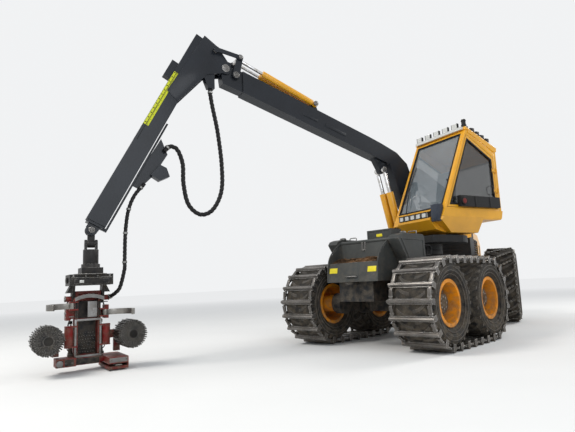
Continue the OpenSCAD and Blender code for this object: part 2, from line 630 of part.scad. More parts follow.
// Stick: outer tube with the two ear plates that carry it on the knee pin
module stick() color("#33373d") at_super() {
    difference() {
        fz_plate(stick_w, crane_x) stick_at() translate([-60, -stick_d / 2]) square([3720, stick_d]);
        fz_plate(stick_w - 2 * stick_t, crane_x) stick_at()
            translate([100, stick_t - stick_d / 2]) square([3700, stick_d - 2 * stick_t]);
    }
    fz_pair(ear_t, ear_x) {
        polygon([[4230, 5520], [3980, 5350], [3760, 5040], [3900, 4880], [4200, 4800], [4720, 4230],
            [4900, 4400]]);
        disc(link_eye_p, 75);
        disc(knee_p, 108);
    }
    pin_at(knee_p, 50, 2 * (ear_x + ear_t), crane_x);
    fz_plate(120, crane_x + 20) stick_at() translate([610, stick_d / 2 - 1]) square([330, 120]);
    fz_plate(120, crane_x + 60) polygon([[4060, 4570], [4180, 4570], [4260, 4780], [4060, 4860]]);
}
module rocker() color("#33373d") at_super() {
    fz_pair(rocker_t, rocker_x) {
        disc(rocker_p, 70);
        disc(luff_eye_p, 60);
        polygon([rocker_p + [-70, 0], luff_eye_p + [-60, 0], luff_eye_p + [60, 0], rocker_p + [70, 0]]);
    }
    pin_at(rocker_p, 40, 2 * (rocker_x + rocker_t), crane_x);
    pin_pair(luff_eye_p, 25, link_x + 30 - rocker_x, rocker_x);
}
module rocker_link() color("#33373d") at_super() fz_pair(20, link_x) difference() {
    union() {
        disc(luff_eye_p, 55);
        disc(link_eye_p, 55);
        polygon([luff_eye_p + [0, -40], link_eye_p + [0, -40], link_eye_p + [0, 40], luff_eye_p + [0, 40]]);
    }
    disc(luff_eye_p, 25 + pin_gap);
}

// Extension: inner tube, the fork at its end, and the arm that carries the hose bracket
module extension() color("#33373d") at_super() {
    difference() {
        fz_plate(ext_w, crane_x) stick_at() translate([300, -ext_d / 2]) square([3400, ext_d]);
        fz_plate(ext_w - 24, crane_x) stick_at() translate([200, 12 - ext_d / 2]) square([3440, ext_d - 24]);
    }
    difference() {
        fz_plate(150, crane_x) {
            stick_at() translate([3690, -90]) square([70, 180]);
            disc(tip_p, 85);
        }
        fz_plate(90, crane_x) disc(tip_p, 110);
        pin_at(tip_p, 32 + pin_gap, 400, crane_x);
    }
    fz_plate(60, crane_x) stick_at() {
        translate([1650, -stick_d / 2 - 50]) square([2060, 30]);
        translate([3665, -stick_d / 2 - 50]) square([45, 120]);
    }
    fz_plate(bracket_t, crane_x)
        polygon([[4975, 3590], [5450, 2780], [5330, 2720], [5100, 2960], [4870, 3330]]);
    fz_plate(130, crane_x) polygon([[4850, 2950], [5010, 2870], [5160, 2960], [5010, 3140], [4900, 3090]]);
}
module loop_hose() color("#15161a") at_super()
    hose(loop_path, loop_hose_r, crane_x + bracket_t / 2 + loop_hose_r + seat_gap);
module head_hose() color("#15161a") at_super()
    hose(head_path, head_hose_r, crane_x + bracket_t / 2 + head_hose_r + seat_gap);

// Hanger under the tip: link with crossed pins, then the rotator
module tip_link() color("#2a2d31") at_tip() {
    translate([0, 0, hang_z]) rotate([0, 90, 0]) cylinder(r = 70, h = 76, center = true);
    translate([0, 0, hang_z]) rotate([0, 90, 0]) cylinder(r = 32, h = 170, center = true);
    difference() {
        union() {
            translate([-38, -50, hang_z - 200]) cube([76, 100, 200]);
            translate([0, 0, hang_z - 200]) rotate([90, 0, 0]) cylinder(r = 60, h = 100, center = true);
        }
        translate([0, 0, hang_z - 200]) rotate([90, 0, 0]) cylinder(r = 30 + pin_gap, h = 120, center = true);
    }
}
module rotator_housing() color("#232529") at_tip() {
    for (y = [-90, 58]) {
        translate([0, y, hang_z - 200]) rotate([-90, 0, 0]) cylinder(r = 60, h = 32);
        translate([-60, y, hang_z - 292]) cube([120, 32, 92]);
    }
    translate([0, 0, hang_z - 200]) rotate([90, 0, 0]) cylinder(r = 30, h = 180, center = true);
    difference() {
        translate([0, 0, hang_z - 500]) cylinder(r = 108, h = 210);
        translate([0, 0, hang_z - 510]) cylinder(r = 60 + pin_gap, h = 150);
    }
}
module rotator() color("#232529") at_head() {
    translate([0, 0, hang_z - 560]) cylinder(r = 130, h = 55);
    translate([0, 0, hang_z - 560]) cylinder(r = 60, h = 190);
    translate([-150, -140, box_z1]) cube([300, 280, hang_z - 559 - box_z1]);
}
// Tilt frame: black top box, the two cheeks that carry the head's tilt pins and its sloping shoulders
module head_hanger() color("#1e2023") at_head() difference() {
    union() {
        translate([-300, -110, box_z0]) cube([600, 380, box_z1 - box_z0]);
        both() yz_plate(35, 190) {
            polygon([[80, box_z0 + 5], [265, box_z0 + 5], [300, 1040], [140, 1040]]);
            disc(tilt_p, 80);
        }
        both() translate([0, 265, 0]) rotate([90, 0, 0]) linear_extrude(160)
            polygon([[224, box_z0 + 1], [250, box_z0 + 1], [305, 1135], [224, 1135]]);
    }
    translate([0, tilt_p[0], tilt_p[1]]) rotate([0, 90, 0]) cylinder(r = 40 + pin_gap, h = 700, center = true);
}
// Head frame: open channel with its light rim bars, red cheeks, top knife, lugs, sole and saw box
frame_x = 178;
module head_frame() color("#a3221c") at_head() {
    difference() {
        translate([-frame_x, 140, 190]) cube([2 * frame_x, 190, 970]);
        translate([40 - frame_x, 130, 180]) cube([2 * frame_x - 80, 160, 940]);
    }
    both() translate([160, 112, 204]) cube([25, 40, 540]);
    for (z = [204, 722]) translate([-184, 112, z]) cube([368, 29, 28]);
    translate([-120, 329, 300]) cube([240, 70, 580]);
    translate([-10, 100, 779]) cube([125, 25, 220]);
    translate([30, 120, 860]) cube([45, 175, 70]);
    both() {
        translate([frame_x - 5, tilt_p[0], tilt_p[1]]) rotate([0, 90, 0]) cylinder(r = 40, h = 132);
        yz_plate(60, 238) polygon([[150, 740], [310, 740], [310, 940], [150, 940]]);
        translate([frame_x - 1, 170, 760]) cube([62, 110, 120]);
        for (z = [arm_z0 - 25, arm_z1 + 3]) translate([150, arm_p[1] - 45, z]) cube([arm_p[0] - 95, 90, 22]);
        translate([arm_p[0], arm_p[1], arm_z0 - 25]) cylinder(r = 25, h = arm_z1 - arm_z0 + 50);
        translate([150, 60, 1030]) cube([26, 90, 45]);
    }
    translate([0, 75, 0]) rotate([90, 0, 0]) linear_extrude(55)
        polygon([[-225, 1016], [-190, 1072], [-110, 1108], [110, 1108], [190, 1072], [225, 1016], [185, 1016],
            [158, 1040], [95, 1060], [-95, 1060], [-158, 1040], [-185, 1016]]);
    knife_lugs(knife_zr);
    mirror([1, 0, 0]) knife_lugs(knife_zl);
    translate([-170, 110, 98]) cube([340, 220, 102]);
    translate([-430, 40, 98]) cube([262, 260, 117]);
    difference() {
        translate([225, -200, 22]) cube([280, 670, 168]);
        translate([200, -210, 60]) cube([291, 660, 40]);
    }
    translate([169, 130, 110]) cube([60, 190, 78]);
    translate([saw_p[0], saw_p[1], 30]) cylinder(r = 20, h = 80);
}
module knife_lugs(z) {
    for (d = [-20, knife_h + 2]) translate([0, 0, z + d]) linear_extrude(18) polygon([[150, 50],
        [knife_p[0] + 40, 50], [knife_p[0] + 40, 132], [184, 132], [184, 200], [150, 200]]);
    translate([knife_p[0], knife_p[1], z - 20]) cylinder(r = 20, h = knife_h + 40);
}
// A curved delimbing knife that swings about an upright pin
module knife(z) translate([knife_p[0], knife_p[1], z]) difference() {
    linear_extrude(knife_h) {
        circle(r = 40);
        translate([90, -245]) intersection() {
            difference() {
                circle(r = 276);
                circle(r = 246);
            }
            polygon(concat([[0, 0]], [for (a = [-40:36:104]) 420 * [cos(a), sin(a)]]));
        }
    }
    translate([0, 0, -5]) cylinder(r = 20 + pin_gap, h = knife_h + 10);
}
module knife_right() color("#b5b3ae") at_head() knife(knife_zr);
module knife_left() color("#b5b3ae") at_head() mirror([1, 0, 0]) knife(knife_zl);
// A roller arm: post on its pin, beam behind the roller with its red plate, and the axle
module arm() difference() {
    union() {
        translate([arm_p[0], arm_p[1], arm_z0]) cylinder(r = 60, h = arm_z1 - arm_z0);
        translate([arm_p[0] + 5, arm_p[1] + 20, roller_z - 60]) cube([roller_x - arm_p[0] - 5, 60, 120]);
        translate([380, arm_p[1] + 20, 240]) cube([90, 60, roller_z - 240]);
        translate([roller_x, arm_p[1] + 80, roller_z]) rotate([90, 0, 0]) cylinder(r = 110, h = 60);
        translate([roller_x, arm_p[1] + 80, roller_z]) rotate([90, 0, 0]) cylinder(r = 55, h = 220);
    }
    translate([arm_p[0], arm_p[1], arm_z0 - 5]) cylinder(r = 25 + pin_gap, h = arm_z1 - arm_z0 + 10);
}
module arm_right() color("#8f1f1a") at_head() arm();
module arm_left() color("#8f1f1a") at_head() mirror([1, 0, 0]) arm();
// A feed roller: ribs along its shell and over its open end face, with a bolted hub
module feed_roller() translate([roller_x, arm_p[1] + 15, roller_z]) rotate([90, 0, 0]) difference() {
    union() {
        cylinder(r = roller_r - 30, h = roller_len);
        for (k = [0:rib_count - 1]) rotate([0, 0, k * 360 / rib_count]) {
            translate([roller_r - 35, -9, 0]) cube([35, 18, roller_len + 14]);
            translate([95, -7, roller_len - 1]) cube([roller_r - 125, 14, 15]);
        }
        translate([0, 0, roller_len - 1]) cylinder(r = 66, h = 22);
    }
    translate([0, 0, -5]) cylinder(r = 55 + pin_gap, h = 170);
}
module feed_roller_right() color("#3a3836") at_head() feed_roller();
module feed_roller_left() color("#3a3836") at_head() mirror([1, 0, 0]) feed_roller();
module saw_bar() color("#9a9a98") at_head() difference() {
    union() {
        translate([saw_p[0], saw_p[1], 74]) cylinder(r = 55, h = 12);
        translate([saw_p[0] - 45, saw_p[1] - 600, 74]) cube([90, 600, 12]);
    }
    translate([saw_p[0], saw_p[1], 60]) cylinder(r = 20 + pin_gap, h = 40);
}

front_frame();
bogie_beams();
front_rims();
front_tyres();
tracks();
front_bin();
side_tanks();
front_locker();
slew_ring();
front_hoses();
rear_frame();
engine_block();
hood();
grille();
rear_rim_left();
rear_tyre_left();
rear_rim_right();
rear_tyre_right();
turntable();
cab_base();
cab_front();
cab_side_left();
cab_side_right();
cab_rear();
cab_roof();
cab_glass();
cab_lamps();
cab_seat();
cab_door();
door_pad();
door_glass();
boom();
lift_barrels();
lift_rods();
stick();
luff_barrels();
luff_rods();
rocker();
rocker_link();
extension();
loop_hose();
head_hose();
tip_link();
rotator_housing();
rotator();
head_hanger();
head_frame();
knife_left();
knife_right();
arm_left();
arm_right();
feed_roller_left();
feed_roller_right();
saw_bar();
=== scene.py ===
"""Looks of the forestry harvester: materials, small parts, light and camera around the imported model."""
import random
from math import atan, atan2, cos, pi, radians, sin, tan

import bmesh
import bpy
from mathutils import Matrix, Vector


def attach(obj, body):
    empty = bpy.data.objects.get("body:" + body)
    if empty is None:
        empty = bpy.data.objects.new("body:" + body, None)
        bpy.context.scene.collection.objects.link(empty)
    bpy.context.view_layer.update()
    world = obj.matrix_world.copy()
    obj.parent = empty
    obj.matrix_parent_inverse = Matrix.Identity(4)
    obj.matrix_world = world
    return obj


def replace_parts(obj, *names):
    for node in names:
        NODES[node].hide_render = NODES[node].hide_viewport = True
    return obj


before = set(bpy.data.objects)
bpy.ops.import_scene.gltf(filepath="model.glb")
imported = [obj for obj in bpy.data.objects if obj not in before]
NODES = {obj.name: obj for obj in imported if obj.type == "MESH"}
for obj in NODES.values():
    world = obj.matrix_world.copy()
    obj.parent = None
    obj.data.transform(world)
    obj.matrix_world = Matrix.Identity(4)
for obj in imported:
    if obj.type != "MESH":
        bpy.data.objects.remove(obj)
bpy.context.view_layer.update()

# Places, in metres: the origin is the tow lug's bore, and the machine's own zero is under the bogie pivots
ZERO = Vector((0, 1.345, -1.08))
STEER_REST = radians(18)
SLEW_REST = radians(-17)
HEAD_YAW = radians(95)
STICK_TILT = radians(62.3)
CRANE_X = -0.45
STICK_TOP_F, STICK_TOP_Z, STICK_RUN = 4.27, 5.4, 3.78
GROUND = ZERO.z
SIDES = (("left", 1), ("right", -1))
FORWARD, BACKWARD, UP = (0, -1, 0), (0, 1, 0), (0, 0, 1)


def move(x, y, z):
    return Matrix.Translation((x, y, z))


def spin(axis, angle):
    return Matrix.Rotation(angle, 4, axis)


M_BASE = Matrix.Translation(ZERO)
M_REAR = Matrix.Translation(ZERO + Vector((0, 1.9, 0))) @ spin("Z", STEER_REST)
M_SUPER = Matrix.Translation(ZERO + Vector((0, 0.9, 0))) @ spin("Z", SLEW_REST)
TIP_F = STICK_TOP_F + STICK_RUN * cos(STICK_TILT)
TIP_Z = STICK_TOP_Z - STICK_RUN * sin(STICK_TILT)
M_TIP = M_SUPER @ move(CRANE_X, -TIP_F, 0)
M_HEAD = M_TIP @ spin("Z", HEAD_YAW)


# Materials

class Shader:
    """A node tree with short calls: a value that is a socket is linked, any other is set."""

    def __init__(self, owner, output="OutputMaterial"):
        owner.use_nodes = True
        self.owner, self.tree = owner, owner.node_tree
        self.tree.nodes.clear()
        self.out = self.tree.nodes.new("ShaderNode" + output)

    def add(self, kind, out=0, props=None, **values):
        node = self.tree.nodes.new("ShaderNode" + kind)
        for key, value in (props or {}).items():
            setattr(node, key, value)
        for key, value in values.items():
            socket = node.inputs[int(key[1:]) if key[1:].isdigit() else key.replace("_", " ")]
            if isinstance(value, bpy.types.NodeSocket):
                self.tree.links.new(value, socket)
            else:
                socket.default_value = value
        return node.outputs[out]

    def math(self, op, a, b, clamp=False):
        return self.add("Math", props={"operation": op, "use_clamp": clamp}, i0=a, i1=b)

    def times(self, a, b, clamp=False):
        return self.math("MULTIPLY", a, b, clamp)

    def plus(self, a, b, clamp=False):
        return self.math("ADD", a, b, clamp)

    def noise(self, scale, detail):
        return self.add("TexNoise", Vector=self.where, Scale=scale, Detail=detail, Roughness=0.55)

    def ramp(self, fac, low, high):
        return self.add("MapRange", Value=fac, From_Min=low, From_Max=high)

    def mix(self, fac, a, b):
        return self.add("Mix", out=2, props={"data_type": "RGBA"}, i0=fac, i6=a, i7=b)

    @property
    def where(self):
        if not hasattr(self, "_where"):
            self._where = self.add("TexCoord", out="Object")
        return self._where

    def edge(self, radius):
        """1 on worn outer and inner edges, 0 on flats."""
        soft = self.add("Bevel", props={"samples": 4}, Radius=radius)
        true = self.add("NewGeometry", out="True Normal")
        dot = self.add("VectorMath", out="Value", props={"operation": "DOT_PRODUCT"}, i0=soft, i1=true)
        return self.ramp(dot, 0.985, 0.86)

    def seen_directly(self):
        """1 for rays that the camera, a reflection or a pane sends, 0 for the light's own."""
        rays = self.tree.nodes.new("ShaderNodeLightPath").outputs
        seen = self.math("MAXIMUM", rays["Is Camera Ray"], rays["Is Glossy Ray"])
        return self.math("MAXIMUM", seen, rays["Is Transmission Ray"])

    def show(self, surface):
        self.tree.links.new(surface, self.out.inputs["Surface"])
        return self.owner

    def finish(self, **values):
        return self.show(self.add("BsdfPrincipled", **values))


def rgb(r, g, b):
    return (r, g, b, 1.0)


def new_shader(name):
    return Shader(bpy.data.materials.new(name))


# Mud and dust colours, also laid into crevices as painted shade
MUD_AND_SHADE = rgb(0.1, 0.075, 0.05)
DUST_AND_SHADE = rgb(0.2, 0.17, 0.13)


def coat(name, colour, rough=0.4, metal=0.0, mud_and_shade=0.3, low=0.9, wear=0.25, worn=(0.33, 0.32, 0.31),
         shade=0.12, bump=0.15, grain=55.0, clear=0.0, gloss=0.22):
    """Paint, metal or rubber: uneven colour, worn edges, dirt that is partly painted shade in crevices, and
    mud that thins upwards.
    """
    s = new_shader(name)
    patch = s.noise(2.3, 5)
    fine = s.noise(grain, 6)
    mid = s.noise(11.0, 6)
    dark = rgb(*[c * (1 - shade * 2.2) for c in colour])
    pale = rgb(*[min(1, c * (1 + shade)) for c in colour])
    base = s.mix(s.ramp(patch, 0.35, 0.65), dark, pale)
    edges = s.times(s.edge(0.006), s.ramp(mid, 0.62 - wear * 0.5, 0.75 - wear * 0.4), clamp=True)
    base = s.mix(s.times(edges, min(1.0, wear * 2.5)), base, rgb(*worn))
    drop = s.ramp(s.add("SeparateXYZ", out=2, Vector=s.where), GROUND + low + 0.9, GROUND)
    # Painted shade: an occlusion mask mixes the mud colour into crevices, partly dirt and partly shade where
    # light is blocked
    crevice_shade = s.add("AmbientOcclusion", out="AO", props={"samples": 6, "only_local": False}, Distance=0.12)
    dirt_and_shade = s.plus(s.times(drop, mud_and_shade * 1.3), s.times(s.ramp(crevice_shade, 0.75, 0.2), mud_and_shade))
    dirt_and_shade = s.times(s.plus(dirt_and_shade, mud_and_shade * 0.12), s.ramp(mid, 0.36, 0.62), clamp=True)
    base = s.mix(dirt_and_shade, base, s.mix(s.ramp(fine, 0.35, 0.65), MUD_AND_SHADE, DUST_AND_SHADE))
    roughness = s.plus(s.times(dirt_and_shade, 0.5), s.plus(rough - 0.06, s.times(fine, 0.12)), clamp=True)
    height = s.plus(s.times(fine, bump), s.times(s.times(dirt_and_shade, mid), 1.5))
    normal = s.add("Bump", Strength=0.35, Distance=0.006, Height=height,
                   Normal=s.add("Bevel", props={"samples": 3}, Radius=0.004))
    return s.finish(Base_Color=base, Roughness=roughness, Metallic=metal, Normal=normal,
                    Specular_IOR_Level=gloss, Coat_Weight=clear, Coat_Roughness=0.12)


def glass(name, tint, haze):
    """A pane: tint where it is clean, which for the window glass is a painted reflection, dust towards its
    film, and haze as its own opacity.
    """
    s = new_shader(name)
    film = s.ramp(s.noise(1.6, 3), 0.3, 0.75)
    colour = s.mix(s.times(film, 0.5), rgb(*tint), rgb(*[min(1, c * 1.5 + 0.01) for c in tint]))
    alpha = s.plus(haze, s.times(film, 0.06))
    rough = s.plus(0.02, s.times(film, 0.05))
    return s.finish(Base_Color=colour, Roughness=rough, Alpha=alpha, IOR=1.7, Specular_IOR_Level=0.8)


def lamp_lens(name):
    s = new_shader(name)
    ribs = s.add("TexWave", props={"wave_type": "BANDS", "bands_direction": "X"}, Vector=s.where, Scale=28.0)
    colour = s.mix(s.noise(22.0, 3), rgb(0.42, 0.43, 0.42), rgb(0.66, 0.66, 0.63))
    normal = s.add("Bump", Strength=0.3, Distance=0.003, Height=ribs)
    return s.finish(Base_Color=colour, Roughness=0.12, Normal=normal, Coat_Weight=0.6,
                    Emission_Strength=0.05, Emission_Color=rgb(0.9, 0.9, 0.85))


def chrome(name):
    s = new_shader(name)
    smear = s.noise(14.0, 5)
    colour = s.mix(s.ramp(smear, 0.4, 0.7), rgb(0.72, 0.72, 0.73), rgb(0.45, 0.42, 0.38))
    return s.finish(Base_Color=colour, Metallic=1.0, Roughness=s.plus(0.1, s.times(smear, 0.18)))


def cloth(name, colour):
    s = new_shader(name)
    weave = s.add("TexWave", props={"wave_type": "BANDS"}, Vector=s.where, Scale=220.0, Distortion=1.5)
    base = s.mix(s.noise(8.0, 4), rgb(*[c * 0.6 for c in colour]), rgb(*colour))
    normal = s.add("Bump", Strength=0.2, Distance=0.002, Height=weave)
    return s.finish(Base_Color=base, Roughness=0.9, Normal=normal)


MATS = {
    "frame": coat("frame_black", (0.016, 0.017, 0.019), 0.5, mud_and_shade=0.55, low=0.8, wear=0.2),
    "yellow": coat("yellow_paint", (0.78, 0.37, 0.01), 0.32, mud_and_shade=0.22, low=0.6, wear=0.05, shade=0.05,
                   clear=0.15, worn=(0.3, 0.13, 0.02), bump=0.03, gloss=0.5),
    "rim": coat("rim_yellow", (0.74, 0.26, 0.006), 0.42, mud_and_shade=0.55, low=0.7, wear=0.2, shade=0.1,
                worn=(0.2, 0.08, 0.03)),
    "rubber": coat("tyre_rubber", (0.018, 0.017, 0.016), 0.72, mud_and_shade=0.45, low=1.0, wear=0.15, bump=0.5,
                   worn=(0.08, 0.075, 0.07)),
    "track": coat("track_steel", (0.15, 0.14, 0.132), 0.34, metal=0.75, low=0.6, wear=0.95, bump=0.5,
                  worn=(0.7, 0.68, 0.65), shade=0.25),
    "bin": coat("bin_grey", (0.05, 0.054, 0.053), 0.42, mud_and_shade=0.4, wear=0.35, bump=0.1,
                worn=(0.22, 0.21, 0.2)),
    "hose": coat("hose_rubber", (0.009, 0.009, 0.01), 0.5, mud_and_shade=0.08, wear=0.1, bump=0.4),
    "crane": coat("crane_grey", (0.014, 0.017, 0.023), 0.36, mud_and_shade=0.05, wear=0.22, shade=0.08, bump=0.04,
                  clear=0.12, worn=(0.16, 0.17, 0.18)),
    "head_black": coat("head_black", (0.015, 0.015, 0.016), 0.42, low=0.8, wear=0.55),
    "head_red": coat("head_red", (0.21, 0.01, 0.01), 0.42, mud_and_shade=0.45, low=1.0, wear=0.5,
                     worn=(0.17, 0.15, 0.14), shade=0.22),
    "blade": coat("blade_steel", (0.26, 0.25, 0.235), 0.32, metal=0.9, low=0.8, wear=0.8, shade=0.2,
                  worn=(0.7, 0.68, 0.64)),
    "roller": coat("roller_steel", (0.022, 0.021, 0.02), 0.42, metal=0.6, mud_and_shade=0.08, low=0.6, wear=0.9,
                   shade=0.25, worn=(0.45, 0.43, 0.4)),
    "plastic": coat("black_plastic", (0.013, 0.013, 0.014), 0.55, mud_and_shade=0.06, wear=0.08, bump=0.6, grain=160),
    "seal": coat("rubber_seal", (0.008, 0.008, 0.009), 0.6, mud_and_shade=0.05, wear=0.05, bump=0.3),
    "cover": coat("blue_grey_cover", (0.03, 0.04, 0.06), 0.35, mud_and_shade=0.12, wear=0.2, shade=0.1, clear=0.2),
    "silver": coat("silver_plate", (0.25, 0.25, 0.25), 0.36, metal=0.8, mud_and_shade=0.35, wear=0.6, shade=0.25,
                   worn=(0.55, 0.54, 0.52)),
    "pin_steel": coat("pin_steel", (0.16, 0.155, 0.15), 0.38, metal=0.85, mud_and_shade=0.2, wear=0.7, shade=0.2,
                      worn=(0.55, 0.54, 0.52)),
    "clamp": coat("clamp_steel", (0.3, 0.3, 0.29), 0.35, metal=0.8, mud_and_shade=0.15, wear=0.4, shade=0.15),
    "link": coat("chain_steel", (0.16, 0.15, 0.135), 0.36, metal=0.75, mud_and_shade=0.18, low=0.6, wear=0.9,
                 bump=0.5, worn=(0.6, 0.58, 0.55), shade=0.25),
    "scale": coat("scale_sticker", (0.62, 0.66, 0.03), 0.4, mud_and_shade=0.08, wear=0.05, shade=0.05),
    "disc": coat("wheel_disc", (0.075, 0.034, 0.012), 0.6, mud_and_shade=0.9, low=1.0, wear=0.15, shade=0.3),
    "tread": coat("worn_tread", (0.06, 0.055, 0.05), 0.6, mud_and_shade=0.4, low=0.8, wear=0.7, bump=0.6,
                  worn=(0.24, 0.22, 0.2), shade=0.25),
    "tail": coat("tail_lens", (0.45, 0.01, 0.01), 0.25, mud_and_shade=0.1, wear=0.02, clear=0.6),
    "sticker": coat("yellow_sticker", (0.74, 0.62, 0.03), 0.4, mud_and_shade=0.12, wear=0.05, shade=0.05),
    "spike": coat("spike_steel", (0.045, 0.043, 0.04), 0.34, metal=0.85, mud_and_shade=0.05, wear=0.9, shade=0.2,
                  worn=(0.5, 0.48, 0.45)),
    "litter": coat("dry_litter", (0.23, 0.125, 0.06), 0.9, mud_and_shade=0.1, wear=0.1, shade=0.35, bump=0.9,
                   grain=90),
    # Painted reflection: the window glass's pale blue-grey tint, half opaque, stands for the pale sky
    # mirrored in it
    "glass": glass("window_glass_painted_reflection", (0.2, 0.235, 0.26), 0.42),
    "door_glass": glass("door_glass", (0.02, 0.023, 0.024), 0.55),
    "lamp": lamp_lens("lamp_lens"),
    "chrome": chrome("rod_chrome"),
    "seat": cloth("seat_cloth", (0.04, 0.04, 0.045)),
}

NODE_MATS = {
    "frame": ["front_frame", "bogie_beams", "slew_ring", "rear_frame", "engine_block", "turntable",
              "grille"],
    "yellow": ["hood", "cab_base", "cab_front", "cab_side_left", "cab_side_right", "cab_rear", "cab_roof",
               "cab_door", "lift_barrels", "luff_barrels"],
    "rim": ["front_rims", "rear_rim_left", "rear_rim_right"],
    "rubber": ["front_tyres", "rear_tyre_left", "rear_tyre_right"],
    "track": ["tracks"],
    "bin": ["front_bin", "side_tanks", "front_locker"],
    "hose": ["front_hoses", "loop_hose", "head_hose"],
    "crane": ["boom", "stick", "rocker", "rocker_link", "extension"],
    "head_black": ["tip_link", "rotator_housing", "rotator", "head_hanger"],
    "head_red": ["head_frame", "arm_left", "arm_right"],
    "roller": ["feed_roller_left", "feed_roller_right"],
    "blade": ["knife_left", "knife_right", "saw_bar"],
    "plastic": ["door_pad"],
    "glass": ["cab_glass"],
    "door_glass": ["door_glass"],
    "lamp": ["cab_lamps"],
    "chrome": ["lift_rods", "luff_rods"],
    "seat": ["cab_seat"],
}
# Nodes whose edges aren't rounded
PLAIN_NODES = {"front_tyres", "rear_tyre_left", "rear_tyre_right", "loop_hose", "head_hose", "tracks",
               "feed_roller_left", "feed_roller_right"}

for key, names in NODE_MATS.items():
    for node_name in names:
        node = NODES[node_name]
        node.data.materials.clear()
        node.data.materials.append(MATS[key])


def soften(obj):
    """Welds a CAD node's split facets and rounds its hard edges, as modifiers."""
    weld = obj.modifiers.new("weld", "WELD")
    weld.merge_threshold = 0.00002
    flat = obj.modifiers.new("flat", "DECIMATE")
    flat.decimate_type = "DISSOLVE"
    flat.angle_limit = radians(0.6)
    bevel = obj.modifiers.new("bevel", "BEVEL")
    bevel.width = 0.004
    bevel.segments = 2
    bevel.limit_method = "ANGLE"
    bevel.angle_limit = radians(32)
    bevel.harden_normals = False


# Mesh helpers

def turn_to(point, normal):
    """A frame at point whose Z runs along normal."""
    return Matrix.Translation(point) @ Vector(normal).to_track_quat("Z", "Y").to_matrix().to_4x4()


def smooth_path(points, step):
    """Points about step apart on a smooth curve through the given ones."""
    given = [Vector(p) for p in points]
    given = [2 * given[0] - given[1]] + given + [2 * given[-1] - given[-2]]
    path = []
    for a, b, c, d in zip(given, given[1:], given[2:], given[3:]):
        count = max(2, round((c - b).length / step))
        for k in range(count):
            t = k / count
            path.append(0.5 * (2 * b + (c - a) * t + (2 * a - 5 * b + 4 * c - d) * t * t
                               + (3 * b - a - 3 * c + d) * t ** 3))
    return path + [given[-2]]


def around(count, start=0.0):
    """Angles of that many even steps round a circle."""
    return [start + 2 * pi * k / count for k in range(count)]


def skin(bm, rings, closed=False):
    """Skins rings of points, with end caps unless the rings close on themselves."""
    rings = [[bm.verts.new(p) for p in ring] for ring in rings]
    count = len(rings[0])
    pairs = list(zip(rings, rings[1:])) + ([(rings[-1], rings[0])] if closed else [])
    for one, two in pairs:
        for k in range(count):
            bm.faces.new((one[k], one[(k + 1) % count], two[(k + 1) % count], two[k]))
    if not closed:
        bm.faces.new(list(reversed(rings[0])))
        bm.faces.new(rings[-1])


def tube(bm, path, radius, sides=10):
    """A tube along path; radius is a number or a function of run length and angle."""
    rings, run, up = [], 0.0, None
    for i, point in enumerate(path):
        ahead = (path[min(i + 1, len(path) - 1)] - path[max(i - 1, 0)]).normalized()
        up = ahead.orthogonal() if up is None else up
        up = (up - ahead * up.dot(ahead)).normalized()
        side = ahead.cross(up)
        run += (point - path[i - 1]).length if i else 0.0
        ring = []
        for a in around(sides):
            r = radius(run, a) if callable(radius) else radius
            ring.append(point + r * (cos(a) * up + sin(a) * side))
        rings.append(ring)
    skin(bm, rings)


def pipe(bm, points, step, radius, sides=8, at=Matrix()):
    """A tube on the smooth curve through a few points."""
    tube(bm, [at @ p for p in smooth_path(points, step)], radius, sides)


def lathe(bm, profile, place, sides=24):
    """profile is (along, radius) pairs turned about the Z of place."""
    skin(bm, [[place @ Vector((r * cos(a), r * sin(a), along)) for a in around(sides)]
              for along, r in profile])


def bolt(bm, place, radius):
    """A hexagon head on its washer."""
    height = radius * 0.7
    lathe(bm, [(0, radius * 1.5), (height * 0.2, radius * 1.5), (height * 0.25, radius * 1.4)], place, 14)
    lathe(bm, [(height * 0.2, radius), (height * 0.85, radius), (height, radius * 0.86)], place, 6)


def bolt_ring(bm, place, ring_radius, count, radius, start=0.0):
    for a in around(count, start):
        bolt(bm, place @ move(ring_radius * cos(a), ring_radius * sin(a), 0), radius)


def box(bm, low, high, bevel=0.004, place=None):
    """A box with rounded edges between two corners."""
    low, high = Vector(low), Vector(high)
    made = bmesh.ops.create_cube(bm, size=1.0)["verts"]
    for v in made:
        v.co = Vector(((low[i] + high[i]) / 2 + v.co[i] * (high[i] - low[i]) for i in range(3)))
    edges = list({e for v in made for e in v.link_edges})
    found = bmesh.ops.bevel(bm, geom=edges, offset=bevel, segments=2, affect="EDGES", profile=0.6)
    if place is not None:
        verts = {v for f in found["faces"] for v in f.verts} | {v for v in made if v.is_valid}
        bmesh.ops.transform(bm, matrix=place, verts=list(verts))


def outline(axis, at, low, high, bottom, top):
    """The corners of an upright rectangle that lies across X or Y."""
    corners = ((low, bottom), (high, bottom), (high, top), (low, top))
    return [(at, a, z) if axis == "X" else (a, at, z) for a, z in corners]


def strip(bm, loop, normal, width, thick):
    """A flat strip of that width round the inside of a closed outline, standing thick off its plane."""
    normal = Vector(normal).normalized()
    loop = [Vector(p) for p in loop]
    middle = sum(loop, Vector()) / len(loop)
    rings = []
    for i, point in enumerate(loop):
        before = (point - loop[i - 1]).normalized()
        after = (loop[(i + 1) % len(loop)] - point).normalized()
        inward = normal.cross(before) + normal.cross(after)
        if inward.dot(middle - point) < 0:
            inward = -inward
        inward.normalize()
        inward *= width / max(0.3, abs(inward.cross(after).length))
        top = normal * thick
        rings.append([point, point + top, point + inward * 0.9 + top, point + inward + top * 0.4,
                      point + inward])
    skin(bm, rings, closed=True)


def border(nx, ny):
    """The corners round a grid of nx by ny cells, in order."""
    return ([(i, 0) for i in range(nx)] + [(nx, j) for j in range(ny)] + [(i, ny) for i in range(nx, 0, -1)]
            + [(0, j) for j in range(ny, 0, -1)])


